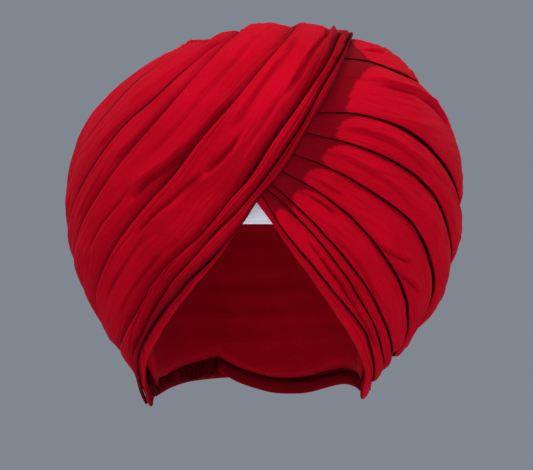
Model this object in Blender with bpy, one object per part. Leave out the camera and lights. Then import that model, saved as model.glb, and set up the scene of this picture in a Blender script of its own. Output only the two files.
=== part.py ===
"""Tied turban: one long cotton cloth wound round a head and held up by it.

The front faces -Y and Z is up. The origin is the centre of the head hollow at
brow height. A smooth body, star shaped about BODY_CENTRE, carries every fold.
Fold lines are read from the front of the turban as millimetres across and up,
and each piece of cloth is a padded strip between two neighbouring lines, with
one edge tucked in under the piece above it and the other rolled under.
"""

import bpy
import numpy as np

# Head and body sizes, metres.
HEAD_HALF_WIDTH = 0.0773
HEAD_HALF_LENGTH = 0.0993
HEAD_CROWN_Z = 0.061
HEAD_DOME_START_Z = 0.005
HEAD_TAPER_START_Z = -0.040
HEAD_TAPER = 2.4
HEAD_BACK_TAPER = 4.0
BODY_CENTRE = (0.0048, 0.002, 0.023)
BODY_SCALE = 1.0
WALL = 0.0085
WALL_BLEND = 0.008

# Cloth sizes, metres.
CLEARANCE = 0.0004
TUCK_TOP = 0.0015
RAISED_BOTTOM = 0.0024
TUCK = 0.008
PINCHED_TOP = 0.0028
EDGE_GAP = 0.0003
VISIBLE_HEIGHT = 0.005
INNER_INSET = 0.0014
RIM_INSET = 0.0022
HOLLOW_CLEARANCE = 0.0030
TURN_GAP_DEGREES = 0.3
BAND_THICKNESS = 0.002
BAND_HEIGHT = 0.016
BAND_CLEARANCE = 0.0012
NAPE_THICKNESS = 0.0024

# How finely the pieces are divided.
LEFT_STATIONS = 24
RIGHT_STATIONS = 16
HEM_STATIONS = 10
INNER_AROUND = 36
BAND_AROUND = 36

# Radius of the wound body under the folds, millimetres from BODY_CENTRE, by elevation.
BODY_ROWS = (
    {"elevation": -90, "left": 160, "right": 160, "front": 120, "back": 150},
    {"elevation": -75, "left": 158, "right": 158, "front": 120, "back": 148},
    {"elevation": -60, "left": 149, "right": 145, "front": 118, "back": 142},
    {"elevation": -45, "left": 141, "right": 137, "front": 108, "back": 145},
    {"elevation": -30, "left": 135, "right": 134, "front": 104, "back": 143},
    {"elevation": -15, "left": 133, "right": 131, "front": 104, "back": 141},
    {"elevation": 0, "left": 131, "right": 129, "front": 106, "back": 141},
    {"elevation": 15, "left": 127, "right": 128, "front": 117, "back": 138},
    {"elevation": 30, "left": 121, "right": 126, "front": 125, "back": 134},
    {"elevation": 45, "left": 114, "right": 124, "front": 124, "back": 127},
    {"elevation": 60, "left": 109, "right": 117, "front": 117, "back": 118},
    {"elevation": 75, "left": 107, "right": 110, "front": 111, "back": 111},
    {"elevation": 90, "left": 107, "right": 107, "front": 107, "back": 107},
)

# Fold lines of the left family, from the front band's edge to the back. "front" holds
# millimetres across and up as seen from the front, "start" and "end" hold azimuth and
# elevation in degrees on the parts that can't be seen from there.
LEFT_LINES = (
    {"name": "band_edge", "start": ((174, -63),),
     "front": ((-78, -90), (-66, -68), (-50, -47), (-30, -26), (-12, -5), (1, 14.5), (12, 30),
               (26, 50), (38, 71), (49, 89), (58, 108), (66, 125.5)),
     "end": ((52, 45), (82, 0), (112, -57))},
    {"name": "second_edge", "start": ((170, -62.5),),
     "front": ((-82.5, -96), (-70, -65), (-58, -45.5), (-39, -23), (-25, -5.5), (-6.5, 14), (7, 34.5),
               (20, 52.5), (31, 69), (44, 92), (53.5, 106.5), (62, 121), (65, 129.5)),
     "end": ((58, 48), (87, 0), (116.5, -57.5))},
    {"name": "panel_edge", "start": ((165, -62),),
     "front": ((-91, -94), (-89.5, -76), (-80.5, -60), (-70, -43.5), (-54, -24.5), (-35, -7), (-13.5, 20),
               (-1, 38.5), (12, 59), (28.5, 81), (44.5, 103), (55.5, 122.5), (59, 132.5)),
     "end": ((63, 52), (92.5, 0), (121.5, -58))},
    {"name": "side_edge", "start": ((157, -61), (166, -52)),
     "front": ((-108, -61.5), (-109.5, -51), (-105, -32.5), (-93.5, -10.5), (-77, 11), (-54, 37.5),
               (-35, 61.5), (-14, 84), (5, 106.5), (19, 122.5), (30.5, 138)),
     "end": ((78, 60), (98.5, 0), (124.5, -58.5))},
    {"name": "layer_edge", "start": ((151, -60), (163, -44), (173, -30)),
     "front": ((-123, -14), (-117, 4), (-107, 21.5), (-91.5, 43.5), (-72, 65.5),
               (-55, 84), (-37, 103.5), (-19, 122.5), (-6.5, 134)),
     "end": ((92, 58), (105, 0), (127.5, -59))},
    {"name": "second_layer_edge", "start": ((147, -60), (159, -40), (170, -20)),
     "front": ((-129, 3.5), (-122, 24), (-107, 48), (-88, 70.5), (-66.5, 88.5),
               (-42.5, 110.5), (-25.5, 123.5), (-17, 127)),
     "end": ((102, 54), (111.5, 0), (130.5, -59))},
    {"name": "third_layer_edge", "start": ((143.5, -59.5), (152, -42), (161, -26), (171, -9)),
     "front": ((-130, 30.5), (-124.5, 47), (-110.5, 67.5), (-93.5, 87), (-71.5, 107), (-52, 116.5), (-35, 125)),
     "end": ((118, 50), (119, 0), (133.5, -59))},
    {"name": "back_edge", "start": ((141, -59.5), (148, -36), (157, -8), (167, 22), (171, 40)), "front": (),
     "end": ((146, 50), (131, 22), (130, -20), (136, -59))},
    {"name": "back_seam", "start": ((139.6, -59.3), (143, -36), (146, -10), (147.5, 12)), "front": (),
     "end": ((146, 15), (143.5, 8), (141, -12), (139.4, -36), (138.2, -59.2))},
)

# One row for each strip between two lines: height of its crest and of its underside, mm.
LEFT_STRIPS = (
    {"name": "edge_pleat", "crest": 10.4, "lift": 6.3, "open": True},
    {"name": "second_pleat", "crest": 10.0, "lift": 5.0, "open": False},
    {"name": "front_panel", "crest": 8.8, "lift": 0.65, "open": False, "under_points": (0.7, 0.4, 0.1)},
    {"name": "side_panel", "crest": 8.0, "lift": 0.65, "open": False, "under_points": (0.75, 0.45, 0.15)},
    {"name": "left_layer_one", "crest": 5.8, "lift": 0.6, "open": False, "under_points": (0.5, 0.1)},
    {"name": "left_layer_two", "crest": 6.2, "lift": 0.6, "open": False, "under_points": (0.5, 0.1)},
    {"name": "left_layer_three", "crest": 6.4, "lift": 0.6, "open": False, "under_points": (0.8, 0.6, 0.3, 0.08)},
    {"name": "back_layer", "crest": 6.4, "lift": 0.55, "open": False, "under_points": (0.75, 0.5, 0.25, 0.06)},
)

# Fold lines of the right family, fanned out from under the front band.
RIGHT_LINES = (
    {"name": "crown_edge", "lead": 0, "start": (), "front": ((62, 122), (64.5, 126.5)),
     "end": ((54.5, 46.5), (84, 3), (87, -6))},
    {"name": "top_edge", "lead": 3, "start": (),
     "front": ((62.5, 115), (80, 112.5), (97.5, 105.5), (110.5, 98.5)), "end": ((22, 29), (55, 7), (89.5, -12))},
    {"name": "fold_one_top", "lead": 7, "start": (),
     "front": ((41.5, 77), (63, 77), (81, 73.5), (97.5, 67.5), (113, 58), (125.5, 45.5), (134, 32.5), (139, 16.5)),
     "end": ((16, -8), (45, -18), (93, -20))},
    {"name": "fold_two_top", "lead": 7, "start": (),
     "front": ((33, 63.5), (58, 58), (78, 51), (97.5, 42), (113, 30.5), (124, 17.5), (131, 0), (134, -19)),
     "end": ((16, -27), (45, -35), (96, -28))},
    {"name": "fold_three_top", "lead": 7, "start": (),
     "front": ((24, 49), (48.5, 40.5), (68, 30.5), (88, 16.5), (106, 2), (117, -16.5), (122, -34.5), (120.5, -51),
               (113, -66)),
     "end": ((14, -43.5), (42, -47), (99.5, -35.5))},
    {"name": "fold_four_top", "lead": 7, "start": (),
     "front": ((17, 37.5), (38.5, 25.5), (58.5, 10.5), (77.5, -7.5), (90.5, -25.5), (100.5, -43.5), (104.5, -62),
               (102.5, -78), (95.5, -89.5)),
     "end": ((14, -52), (42, -52.5), (102.5, -42))},
    {"name": "pleat_one_top", "lead": 7, "start": (),
     "front": ((10.5, 27.5), (26, 13), (51.5, -12.5), (66.5, -30.5), (79.5, -49), (88.5, -67), (93, -87), (92.5, -94)),
     "end": ((14, -55.5), (42, -55.5), (106, -47))},
    {"name": "pleat_two_top", "lead": 7, "start": (),
     "front": ((8, 23), (23, 9), (44, -14), (57.5, -31.5), (71.5, -52.5), (82.5, -73), (87, -92)),
     "end": ((14, -58.7), (42, -57.7), (109, -50.5))},
    {"name": "hem_top", "lead": 7, "start": (),
     "front": ((4.5, 17.5), (16, -1.5), (30, -20.5), (50.5, -46), (64.5, -62), (75.5, -77), (80.5, -96.5), (80.5, -106)),
     "end": ((14, -61.5), (42, -59.7), (111, -53.5))},
    {"name": "hem_edge", "lead": 7, "start": (),
     "front": ((0.5, 13), (10, 0), (25, -23), (45, -51), (63, -78.5), (73, -99), (75, -108), (72, -122)),
     "end": ((14, -64.2), (42, -62), (112, -56.5))},
)

RIGHT_STRIPS = (
    {"name": "right_top", "tuck": 1.5, "crest": 6.5, "lift": 0.4, "under_points": (0.7, 0.4, 0.1)},
    {"name": "right_panel", "crest": 8.6, "lift": 0.4, "under_points": (0.7, 0.4, 0.1)},
    {"name": "right_fold_one", "crest": 8.2, "lift": 0.4},
    {"name": "right_fold_two", "crest": 8.2, "lift": 0.4},
    {"name": "right_fold_three", "crest": 8.0, "lift": 0.4},
    {"name": "right_fold_four", "crest": 7.6, "lift": 0.4},
    {"name": "right_pleat_one", "crest": 6.6, "lift": 0.4},
    {"name": "right_pleat_two", "crest": 6.0, "lift": 0.4},
    {"name": "right_hem", "crest": 5.0, "lift": 0.4},
)

# The hem that shows under the band on the left of the face.
LEFT_HEM_LINES = (
    {"name": "left_hem_top", "start": ((175.2, -62.4),),
     "front": ((-78.5, -92), (-67, -70), (-51, -49), (-31, -28), (-13, -5)), "end": ()},
    {"name": "left_hem_edge", "start": ((176.5, -63.6),),
     "front": ((-75.5, -112), (-74, -97), (-66, -80), (-50, -55), (-30, -31), (-9.5, -1)), "end": ()},
)

# The nape piece, laid over the ends of the folds behind the left ear.
NAPE_ROWS = (
    {"azimuth": 163, "low": -62.0, "high": -58.5, "under": 6.6},
    {"azimuth": 152, "low": -61.5, "high": -52, "under": 6.6},
    {"azimuth": 140, "low": -60.0, "high": -46, "under": 6.6},
    {"azimuth": 128, "low": -58.5, "high": -44, "under": 7.0},
    {"azimuth": 116, "low": -57.0, "high": -46, "under": 9.8},
    {"azimuth": 105, "low": -56.0, "high": -51, "under": 10.2},
)

# The turns of the wound body, as shares of the way from its rim up to the crown.
INNER_TURNS = (
    {"name": "lower_wrap", "from": 0.0, "to": 0.34, "outer_rows": 5, "inner_rows": 4},
    {"name": "middle_wrap", "from": 0.34, "to": 0.66, "outer_rows": 3, "inner_rows": 3},
    {"name": "crown_wrap", "from": 0.66, "to": 1.0, "outer_rows": 2, "inner_rows": 3},
)

CENTRE = np.array(BODY_CENTRE)


def clear_scene():
    for item in list(bpy.data.objects):
        bpy.data.objects.remove(item, do_unlink=True)


def cotton(name, colour, roughness):
    material = bpy.data.materials.new(name)
    material.use_nodes = True
    shader = material.node_tree.nodes["Principled BSDF"]
    shader.inputs["Base Color"].default_value = (*colour, 1.0)
    shader.inputs["Roughness"].default_value = roughness
    shader.inputs["Metallic"].default_value = 0.0
    material.diffuse_color = (*colour, 1.0)
    return material


def unit(vectors):
    return vectors / np.linalg.norm(vectors, axis=-1, keepdims=True)


def direction(azimuth, elevation):
    """Unit vectors from azimuth (0 right, 90 back, 180 left) and elevation in degrees."""
    a = np.radians(azimuth)
    e = np.radians(elevation)
    return np.stack([np.cos(a) * np.cos(e), np.sin(a) * np.cos(e), np.sin(e) + 0 * a], axis=-1)


def smooth_rows(rows, key, positions):
    """Catmull-Rom through evenly spaced rows of a table."""
    values = np.array([row[key] for row in rows], float)
    values = np.concatenate([[2 * values[0] - values[1]], values, [values[-2]]])
    position = np.clip(positions, 0, len(rows) - 1.000001)
    k = position.astype(int)
    t = position - k
    a, b, c, d = values[k], values[k + 1], values[k + 2], values[k + 3]
    return 0.5 * (2 * b + (c - a) * t + (2 * a - 5 * b + 4 * c - d) * t ** 2 + (3 * b - a - 3 * c + d) * t ** 3)


def table_radius(d):
    step = BODY_ROWS[1]["elevation"] - BODY_ROWS[0]["elevation"]
    position = (np.degrees(np.arcsin(np.clip(d[:, 2], -1, 1))) - BODY_ROWS[0]["elevation"]) / step
    level = np.maximum(d[:, 0] ** 2 + d[:, 1] ** 2, 1e-12)
    side = d[:, 0] ** 2 / level
    across = np.where(d[:, 0] < 0, smooth_rows(BODY_ROWS, "left", position), smooth_rows(BODY_ROWS, "right", position))
    along = np.where(d[:, 1] < 0, smooth_rows(BODY_ROWS, "front", position), smooth_rows(BODY_ROWS, "back", position))
    return (side * across + (1 - side) * along) * 0.001 * BODY_SCALE


def head_radius(d, grow):
    """Distance from BODY_CENTRE to the head, grown by grow, found by halving."""
    low = np.zeros(len(d))
    high = np.full(len(d), 0.6)
    for _ in range(30):
        middle = 0.5 * (low + high)
        p = CENTRE + d * middle[:, None]
        below = np.maximum(HEAD_TAPER_START_Z - p[:, 2], 0)
        taper = np.clip(1 - HEAD_TAPER * below, 0.3, 1)
        back_taper = np.where(p[:, 1] > 0, np.clip(1 - HEAD_BACK_TAPER * below, 0.3, 1), taper)
        dome = np.maximum(p[:, 2] - HEAD_DOME_START_Z, 0) / (HEAD_CROWN_Z - HEAD_DOME_START_Z + grow)
        x = p[:, 0] / ((HEAD_HALF_WIDTH + grow) * taper)
        y = p[:, 1] / ((HEAD_HALF_LENGTH + grow) * back_taper)
        inside = x ** 2 + y ** 2 + dome ** 2 < 1
        low = np.where(inside, middle, low)
        high = np.where(inside, high, middle)
    return low


def body_radius(d):
    a = table_radius(d)
    b = head_radius(d, WALL)
    return 0.5 * (a + b + np.sqrt((a - b) ** 2 + WALL_BLEND ** 2))


def body_points(d, height):
    """Points at a height above the wound body, measured along its normal."""
    d = unit(np.asarray(d, float))
    helper = np.where(np.abs(d[:, 2:3]) > 0.9, [[1.0, 0.0, 0.0]], [[0.0, 0.0, 1.0]])
    first = unit(np.cross(helper, d))
    second = np.cross(d, first)
    step = 0.02
    base = CENTRE + d * body_radius(d)[:, None]
    d1 = unit(d + step * first)
    d2 = unit(d + step * second)
    p1 = CENTRE + d1 * body_radius(d1)[:, None]
    p2 = CENTRE + d2 * body_radius(d2)[:, None]
    normal = unit(np.cross(p1 - base, p2 - base))
    return base + normal * np.asarray(height, float)[:, None]


def seen_from_front(across, up):
    """Direction of the point of the body that shows at a place in the front view, millimetres."""
    x = np.asarray(across, float) * 0.001 * BODY_SCALE
    z = np.asarray(up, float) * 0.001 * BODY_SCALE
    low = np.zeros(len(x))
    high = np.full(len(x), 0.3)
    for _ in range(34):
        depth = 0.5 * (low + high)
        v = np.stack([x - CENTRE[0], -depth, z - CENTRE[2]], axis=1)
        inside = np.linalg.norm(v, axis=1) < body_radius(unit(v)) + VISIBLE_HEIGHT
        low = np.where(inside, depth, low)
        high = np.where(inside, high, depth)
    return unit(np.stack([x - CENTRE[0], -low, z - CENTRE[2]], axis=1))


def line_directions(row, stations):
    """Evenly spaced directions along one fold line, after a hidden lead of so many millimetres."""
    parts = []
    if row["start"]:
        parts.append(np.array([direction(a, e) for a, e in row["start"]]))
    if row["front"]:
        seen = np.array(row["front"], float)
        parts.append(seen_from_front(seen[:, 0], seen[:, 1]))
    if row["end"]:
        parts.append(np.array([direction(a, e) for a, e in row["end"]]))
    points = np.concatenate(parts)
    lead = row.get("lead", 0) * 0.001
    if lead > 0:
        gap = np.linalg.norm(points[1] - points[0]) * body_radius(points[:1])[0]
        points = np.concatenate([[points[0] - (points[1] - points[0]) * lead / gap], points])
    padded = np.concatenate([[2 * points[0] - points[1]], points, [2 * points[-1] - points[-2]]])
    fine = []
    for k in range(len(points) - 1):
        p0, p1, p2, p3 = padded[k:k + 4]
        t0, t1, t2 = (max(np.linalg.norm(b - a), 1e-6) ** 0.5 for a, b in ((p0, p1), (p1, p2), (p2, p3)))
        m1 = ((p1 - p0) / t0 - (p2 - p0) / (t0 + t1) + (p2 - p1) / t1) * t1
        m2 = ((p2 - p1) / t1 - (p3 - p1) / (t1 + t2) + (p3 - p2) / t2) * t1
        for t in np.linspace(0, 1, 24, endpoint=False):
            h00 = 2 * t ** 3 - 3 * t ** 2 + 1
            h10 = t ** 3 - 2 * t ** 2 + t
            h01 = 3 * t ** 2 - 2 * t ** 3
            h11 = t ** 3 - t ** 2
            fine.append(h00 * p1 + h10 * m1 + h01 * p2 + h11 * m2)
    fine.append(points[-1])
    fine = unit(np.array(fine))
    steps = np.concatenate([[0], np.cumsum(np.linalg.norm(np.diff(fine, axis=0), axis=1))])
    wanted = np.linspace(0, steps[-1], stations)
    return unit(np.stack([np.interp(wanted, steps, fine[:, k]) for k in range(3)], axis=1))


def make_object(name, vertices, faces, material):
    mesh = bpy.data.meshes.new(name)
    mesh.from_pydata([tuple(v) for v in vertices], [], faces)
    mesh.validate()
    mesh.materials.append(material)
    item = bpy.data.objects.new(name, mesh)
    bpy.context.scene.collection.objects.link(item)
    return item


def tube_faces(stations, shares):
    """Triangles round a closed strip, split the same way above and below, and one face at each end."""
    faces = []
    ring = len(shares)
    for k in range(stations - 1):
        for j in range(ring):
            n = (j + 1) % ring
            a, b, c, d = k * ring + j, k * ring + n, (k + 1) * ring + n, (k + 1) * ring + j
            outward = np.mean(shares[n]) > np.mean(shares[j])
            faces += [(a, b, c), (a, c, d)] if outward else [(a, b, d), (b, c, d)]
    faces.append(tuple(range(ring - 1, -1, -1)))
    faces.append(tuple((stations - 1) * ring + j for j in range(ring)))
    return faces


def facing_out(vertices, faces):
    """Turn all faces over if the solid they close has a negative volume."""
    volume = 0.0
    for face in faces:
        a = vertices[face[0]]
        for k in range(1, len(face) - 1):
            volume += np.dot(a, np.cross(vertices[face[k]], vertices[face[k + 1]]))
    return faces if volume > 0 else [tuple(reversed(face)) for face in faces]


def strip(name, before, near, far, after_tucks, spec, press, swell, material):
    """A padded strip of cloth from the line near, where it is tucked in, to the rolled edge at far."""
    stations = len(near)
    width = np.linalg.norm(far - near, axis=1) * body_radius(unit(near + far))
    lift = spec["lift"] * 0.001
    crest = np.minimum(spec["crest"] * 0.001, lift + 0.0016 + 0.45 * width)
    crest = PINCHED_TOP + (crest - PINCHED_TOP) * swell if lift < 0.001 else crest
    rise = crest - lift
    under = RAISED_BOTTOM if after_tucks else CLEARANCE
    raised = np.maximum(np.full(stations, under), lift)
    next_tuck = np.minimum(TUCK, 0.45 * width) if after_tucks else np.full(stations, 0.001)
    tucked = np.clip(1 - (next_tuck + 0.001) / width, 0.3, 0.9)
    if before is None:
        tuck_width = np.minimum(spec.get("tuck", 8.0) * 0.001, 0.45 * width)
        tuck_end = -tuck_width / width
        behind = None
    else:
        behind_width = np.linalg.norm(near - before, axis=1) * body_radius(unit(near + before))
        tuck_end = -np.minimum(TUCK, 0.45 * behind_width) / behind_width
        behind = before
    one = np.ones(stations)
    edge = 1 - EDGE_GAP / width
    if spec.get("open"):
        ring = [(0.02 * edge, lift + 0.25 * rise), (0.0 * one, lift + 0.50 * rise), (0.10 * edge, lift + 0.80 * rise)]
    else:
        ring = [(tuck_end, np.full(stations, lift)), (tuck_end, lift + (TUCK_TOP - CLEARANCE) * one),
                (0.0 * one, lift + (TUCK_TOP - CLEARANCE + 0.0001) * one), (0.07 * edge, lift + 0.50 * rise)]
    shoulder = np.maximum(lift + 0.74 * rise, raised + 0.0006)
    ring += [(0.30 * edge, lift + 0.86 * rise), (0.60 * edge, crest),
             (0.85 * edge, np.maximum(lift + 0.93 * rise, raised + 0.0007)), (0.96 * edge, shoulder),
             (edge, 0.5 * (raised + shoulder)), (0.98 * edge, raised), (tucked * edge, raised),
             (tucked * edge - 0.06, np.full(stations, lift))]
    if not spec.get("open"):
        ring += [(share * (tucked * edge - 0.06), np.full(stations, lift)) for share in spec.get("under_points", (0.42,))]
    vertices = []
    for v, height in ring:
        on_strip = near + (far - near) * v[:, None]
        if behind is not None:
            on_tuck = near + (near - behind) * v[:, None]
            on_strip = np.where(v[:, None] < 0, on_tuck, on_strip)
        vertices.append(body_points(on_strip, lift + (height - lift) * press))
    vertices = np.stack(vertices, axis=1).reshape(-1, 3)
    faces = facing_out(vertices, tube_faces(stations, [v for v, _ in ring]))
    return make_object(name, vertices, faces, material)


def family(lines, strips, stations, press, swell, material):
    """All strips between the neighbouring lines of one table."""
    paths = [line_directions(row, stations) for row in lines]
    made = []
    for k, spec in enumerate(strips):
        before = paths[k - 1] if k else None
        last = k == len(strips) - 1
        made.append(strip(spec["name"], before, paths[k], paths[k + 1], not last, spec, press, swell, material))
    return paths, made


def rim_elevation(azimuths, right_edge, left_edge):
    """Elevation of the lower edge of the cloth at any azimuth."""
    known = []
    for path in (right_edge, left_edge):
        known += [(np.degrees(np.arctan2(p[1], p[0])) % 360, np.degrees(np.arcsin(p[2]))) for p in path]
    known += [(row["azimuth"], row["low"]) for row in NAPE_ROWS[:-2]]
    known.sort()
    known = np.array(known)
    return np.interp(azimuths, known[:, 0], known[:, 1], period=360)


def inner_turn(turn, azimuth, rim, material):
    """One turn of the wound body: an outer skin under the folds, and its part of the head hollow."""
    crown = turn["to"] >= 1
    low = rim + (90 - rim) * turn["from"]
    high = rim + (90 - rim) * turn["to"] - (0.0 if crown else TURN_GAP_DEGREES)
    n = INNER_AROUND
    skins = []
    for rows, outside in ((turn["outer_rows"], True), (turn["inner_rows"], False)):
        skin = []
        for row in range(rows if crown else rows + 1):
            elevation = low + (high - low) * row / rows
            d = direction(azimuth, elevation)
            if outside:
                near_rim = np.clip(1 - 3 * (elevation - rim) / (90 - rim), 0, 1)
                skin.append(body_points(d, -INNER_INSET - RIM_INSET * near_rim))
            else:
                skin.append(CENTRE + d * head_radius(d, HOLLOW_CLEARANCE)[:, None])
        if crown:
            pole = direction(np.array([0.0]), np.array([90.0]))
            if outside:
                skin.append(body_points(pole, np.array([-INNER_INSET])))
            else:
                skin.append(CENTRE + pole * head_radius(pole, HOLLOW_CLEARANCE)[:, None])
        skins.append(skin)
    vertices = np.concatenate(skins[0] + skins[1])
    faces = []
    start = 0
    ends = []
    for rows, turned in ((turn["outer_rows"], False), (turn["inner_rows"], True)):
        last = start + rows * n
        for r in range(rows):
            for k in range(n):
                m = (k + 1) % n
                a, b = start + r * n + k, start + r * n + m
                if crown and r == rows - 1:
                    made = ((a, b, last),)
                else:
                    c, e = start + (r + 1) * n + m, start + (r + 1) * n + k
                    made = ((a, b, c), (a, c, e))
                faces += [tuple(reversed(face)) if turned else face for face in made]
        ends.append((start, last))
        start = last + (1 if crown else n)
    for k in range(n):
        m = (k + 1) % n
        faces.append((ends[0][0] + m, ends[0][0] + k, ends[1][0] + k, ends[1][0] + m))
        if not crown:
            faces.append((ends[0][1] + k, ends[0][1] + m, ends[1][1] + m, ends[1][1] + k))
    return make_object(turn["name"], vertices, facing_out(vertices, faces), material)


def inner_wrap(right_edge, left_edge, material):
    """The wound body under the folds, in three turns one above another, hollow for the head."""
    azimuth = np.arange(INNER_AROUND) * 360.0 / INNER_AROUND
    rim = rim_elevation(azimuth, right_edge, left_edge)
    front = np.clip(-np.sin(np.radians(azimuth)), 0, 1)
    rim = rim + 3.0 + 6.0 * front
    for turn in INNER_TURNS:
        inner_turn(turn, azimuth, rim, material)


def head_ring(z, shrink):
    """Points round the head at one height, a little inside the hollow."""
    angle = np.arange(BAND_AROUND) * 2 * np.pi / BAND_AROUND
    dome = np.sqrt(max(1 - (max(z - HEAD_DOME_START_Z, 0) / (HEAD_CROWN_Z - HEAD_DOME_START_Z)) ** 2, 0.05))
    x = (HEAD_HALF_WIDTH * dome - shrink) * np.cos(angle)
    y = (HEAD_HALF_LENGTH * dome - shrink) * np.sin(angle)
    return np.stack([x, y, np.full(BAND_AROUND, z)], axis=1)


def under_band(material):
    """The white band on the brow, under the wound cloth."""
    levels = (0.0, 0.5 * BAND_HEIGHT, BAND_HEIGHT)
    out = [head_ring(z, BAND_CLEARANCE) for z in levels]
    inside = [head_ring(z, BAND_CLEARANCE + BAND_THICKNESS) for z in reversed(levels)]
    vertices = np.concatenate(out + inside)
    n = BAND_AROUND
    rows = 2 * len(levels)
    faces = []
    for r in range(rows):
        s = (r + 1) % rows
        for k in range(n):
            m = (k + 1) % n
            faces.append((r * n + k, r * n + m, s * n + m, s * n + k))
    return make_object("under_band", vertices, facing_out(vertices, faces), material)


def nape_wrap(material):
    """The end of the cloth, laid flat over the ends of the folds at the nape."""
    stations = 15
    position = np.linspace(0, len(NAPE_ROWS) - 1.000001, stations)
    azimuth = smooth_rows(NAPE_ROWS, "azimuth", position)
    low = smooth_rows(NAPE_ROWS, "low", position)
    high = smooth_rows(NAPE_ROWS, "high", position)
    under = smooth_rows(NAPE_ROWS, "under", position) * 0.001
    ring = [(0.0, 0.3), (0.06, 1.0), (0.5, 1.15), (0.9, 1.0), (1.0, 0.5), (0.97, 0.0), (0.66, 0.0), (0.33, 0.0),
            (0.04, 0.0)]
    vertices = []
    for v, share in ring:
        d = direction(azimuth, low + (high - low) * v)
        vertices.append(body_points(d, under + NAPE_THICKNESS * share))
    vertices = np.stack(vertices, axis=1).reshape(-1, 3)
    faces = facing_out(vertices, tube_faces(stations, [v for v, _ in ring]))
    return make_object("nape_wrap", vertices, faces, material)


def ease(values, low, high):
    t = np.clip((values - low) / (high - low), 0, 1)
    return t * t * (3 - 2 * t)


def build():
    clear_scene()
    red = cotton("red_cotton", (0.48, 0.0, 0.015), 0.75)
    white = cotton("white_cotton", (0.75, 0.75, 0.82), 0.8)
    along = np.linspace(0, 1, LEFT_STATIONS)
    press = 0.5 + 0.5 * ease(along, 0.03, 0.16) * ease(1 - along, 0.05, 0.22)
    family(LEFT_LINES, LEFT_STRIPS, LEFT_STATIONS, press, np.ones(LEFT_STATIONS), red)
    along = np.linspace(0, 1, RIGHT_STATIONS)
    swell = ease(along, 0.05, 0.22) * ease(1 - along, 0.09, 0.26)
    level = np.ones(RIGHT_STATIONS)
    right, _ = family(RIGHT_LINES, RIGHT_STRIPS, RIGHT_STATIONS, level, swell, red)
    along = np.linspace(0, 1, HEM_STATIONS)
    spec = ({"name": "left_hem", "crest": 5.7, "lift": 2.2},)
    hem, _ = family(LEFT_HEM_LINES, spec, HEM_STATIONS, np.ones(HEM_STATIONS), np.ones(HEM_STATIONS), red)
    inner_wrap(right[-1][2:], hem[-1], red)
    under_band(white)
    nape_wrap(red)


build()
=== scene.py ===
# %% [markdown]
# # A tied turban of crinkled cotton
#
# A turban of this kind is one long piece of thin cotton, folded lengthways and wound round
# the head again and again. Nothing in it is sewn: each turn is laid over the last one and held
# by friction, so what the eye sees is a stack of soft folds with thin dark creases between them.
#
# The model keeps that order. A smooth wound body comes first, the fold lines are laid on it,
# and each fold is a padded strip of cloth between two lines, tucked in under its neighbour
# along one side and rolled under along the other. Geometry Nodes then crinkle the cloth.

import math

import bpy
import numpy as np
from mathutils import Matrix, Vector


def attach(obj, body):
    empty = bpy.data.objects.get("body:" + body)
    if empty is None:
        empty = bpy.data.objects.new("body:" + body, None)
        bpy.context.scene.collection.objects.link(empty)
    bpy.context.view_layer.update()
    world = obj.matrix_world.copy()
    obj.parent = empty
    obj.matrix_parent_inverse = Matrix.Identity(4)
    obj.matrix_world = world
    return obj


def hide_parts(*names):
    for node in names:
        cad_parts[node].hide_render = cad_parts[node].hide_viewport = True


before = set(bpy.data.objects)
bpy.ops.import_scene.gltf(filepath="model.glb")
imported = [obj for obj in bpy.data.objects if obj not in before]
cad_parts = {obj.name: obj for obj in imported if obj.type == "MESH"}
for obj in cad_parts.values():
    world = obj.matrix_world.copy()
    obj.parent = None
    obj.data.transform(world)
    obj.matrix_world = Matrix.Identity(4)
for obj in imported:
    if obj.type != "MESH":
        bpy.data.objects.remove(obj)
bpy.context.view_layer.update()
MM = 0.001
print("CAD nodes:", len(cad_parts))

# %% [markdown]
# ## The camera
#
# The photograph seems to be taken level with the brow and from far away, because the two sides
# of the turban show no perspective. A long lens at eight metres gives that flat view.

# %% Set the camera
CAMERA_DISTANCE = 8.0
VIEW_WIDTH = 0.3678
VIEW_CENTRE = (0.0069, -0.0076)
SENSOR = 36.0

camera_data = bpy.data.cameras.new("camera")
camera_data.sensor_width = SENSOR
camera_data.lens = SENSOR * CAMERA_DISTANCE / VIEW_WIDTH
camera_data.clip_end = 100.0
camera = bpy.data.objects.new("camera", camera_data)
camera.location = (VIEW_CENTRE[0], -CAMERA_DISTANCE, VIEW_CENTRE[1])
camera.rotation_euler = (math.radians(90), 0, 0)
bpy.context.scene.collection.objects.link(camera)
bpy.context.scene.camera = camera
print(f"lens {camera_data.lens:.0f} mm")

# %% [markdown]
# ## The wound body
#
# Under the folds is a smooth form, like a tall egg: wide at the ears, deep at the back, and
# open below for the head. It is described by its radius from one centre, in a small table by
# elevation, for the left, right, front and back. Between those, the radius is blended, and it
# never comes closer to the head than the wall of cloth is thick.

# %% Describe the wound body
HEAD_HALF_WIDTH = 0.0773
HEAD_HALF_LENGTH = 0.0993
HEAD_CROWN_Z = 0.061
HEAD_DOME_START_Z = 0.005
HEAD_TAPER_START_Z = -0.040
HEAD_TAPER = 2.4
HEAD_BACK_TAPER = 4.0
BODY_CENTRE = np.array((0.0048, 0.002, 0.023))
WALL = 0.0085
WALL_BLEND = 0.008
HOLLOW_CLEARANCE = 0.0030
ROW_STEP = 15

# Radius in millimetres at each elevation from straight down to straight up.
BODY_RADII = {
    "left": (160, 158, 149, 141, 135, 133, 131, 127, 121, 114, 109, 107, 107),
    "right": (160, 158, 145, 137, 134, 131, 129, 128, 126, 124, 117, 110, 107),
    "front": (120, 120, 118, 108, 104, 104, 106, 117, 125, 124, 117, 111, 107),
    "back": (150, 148, 142, 145, 143, 141, 141, 138, 134, 127, 118, 111, 107),
}


def unit(vectors):
    return vectors / np.linalg.norm(vectors, axis=-1, keepdims=True)


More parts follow.
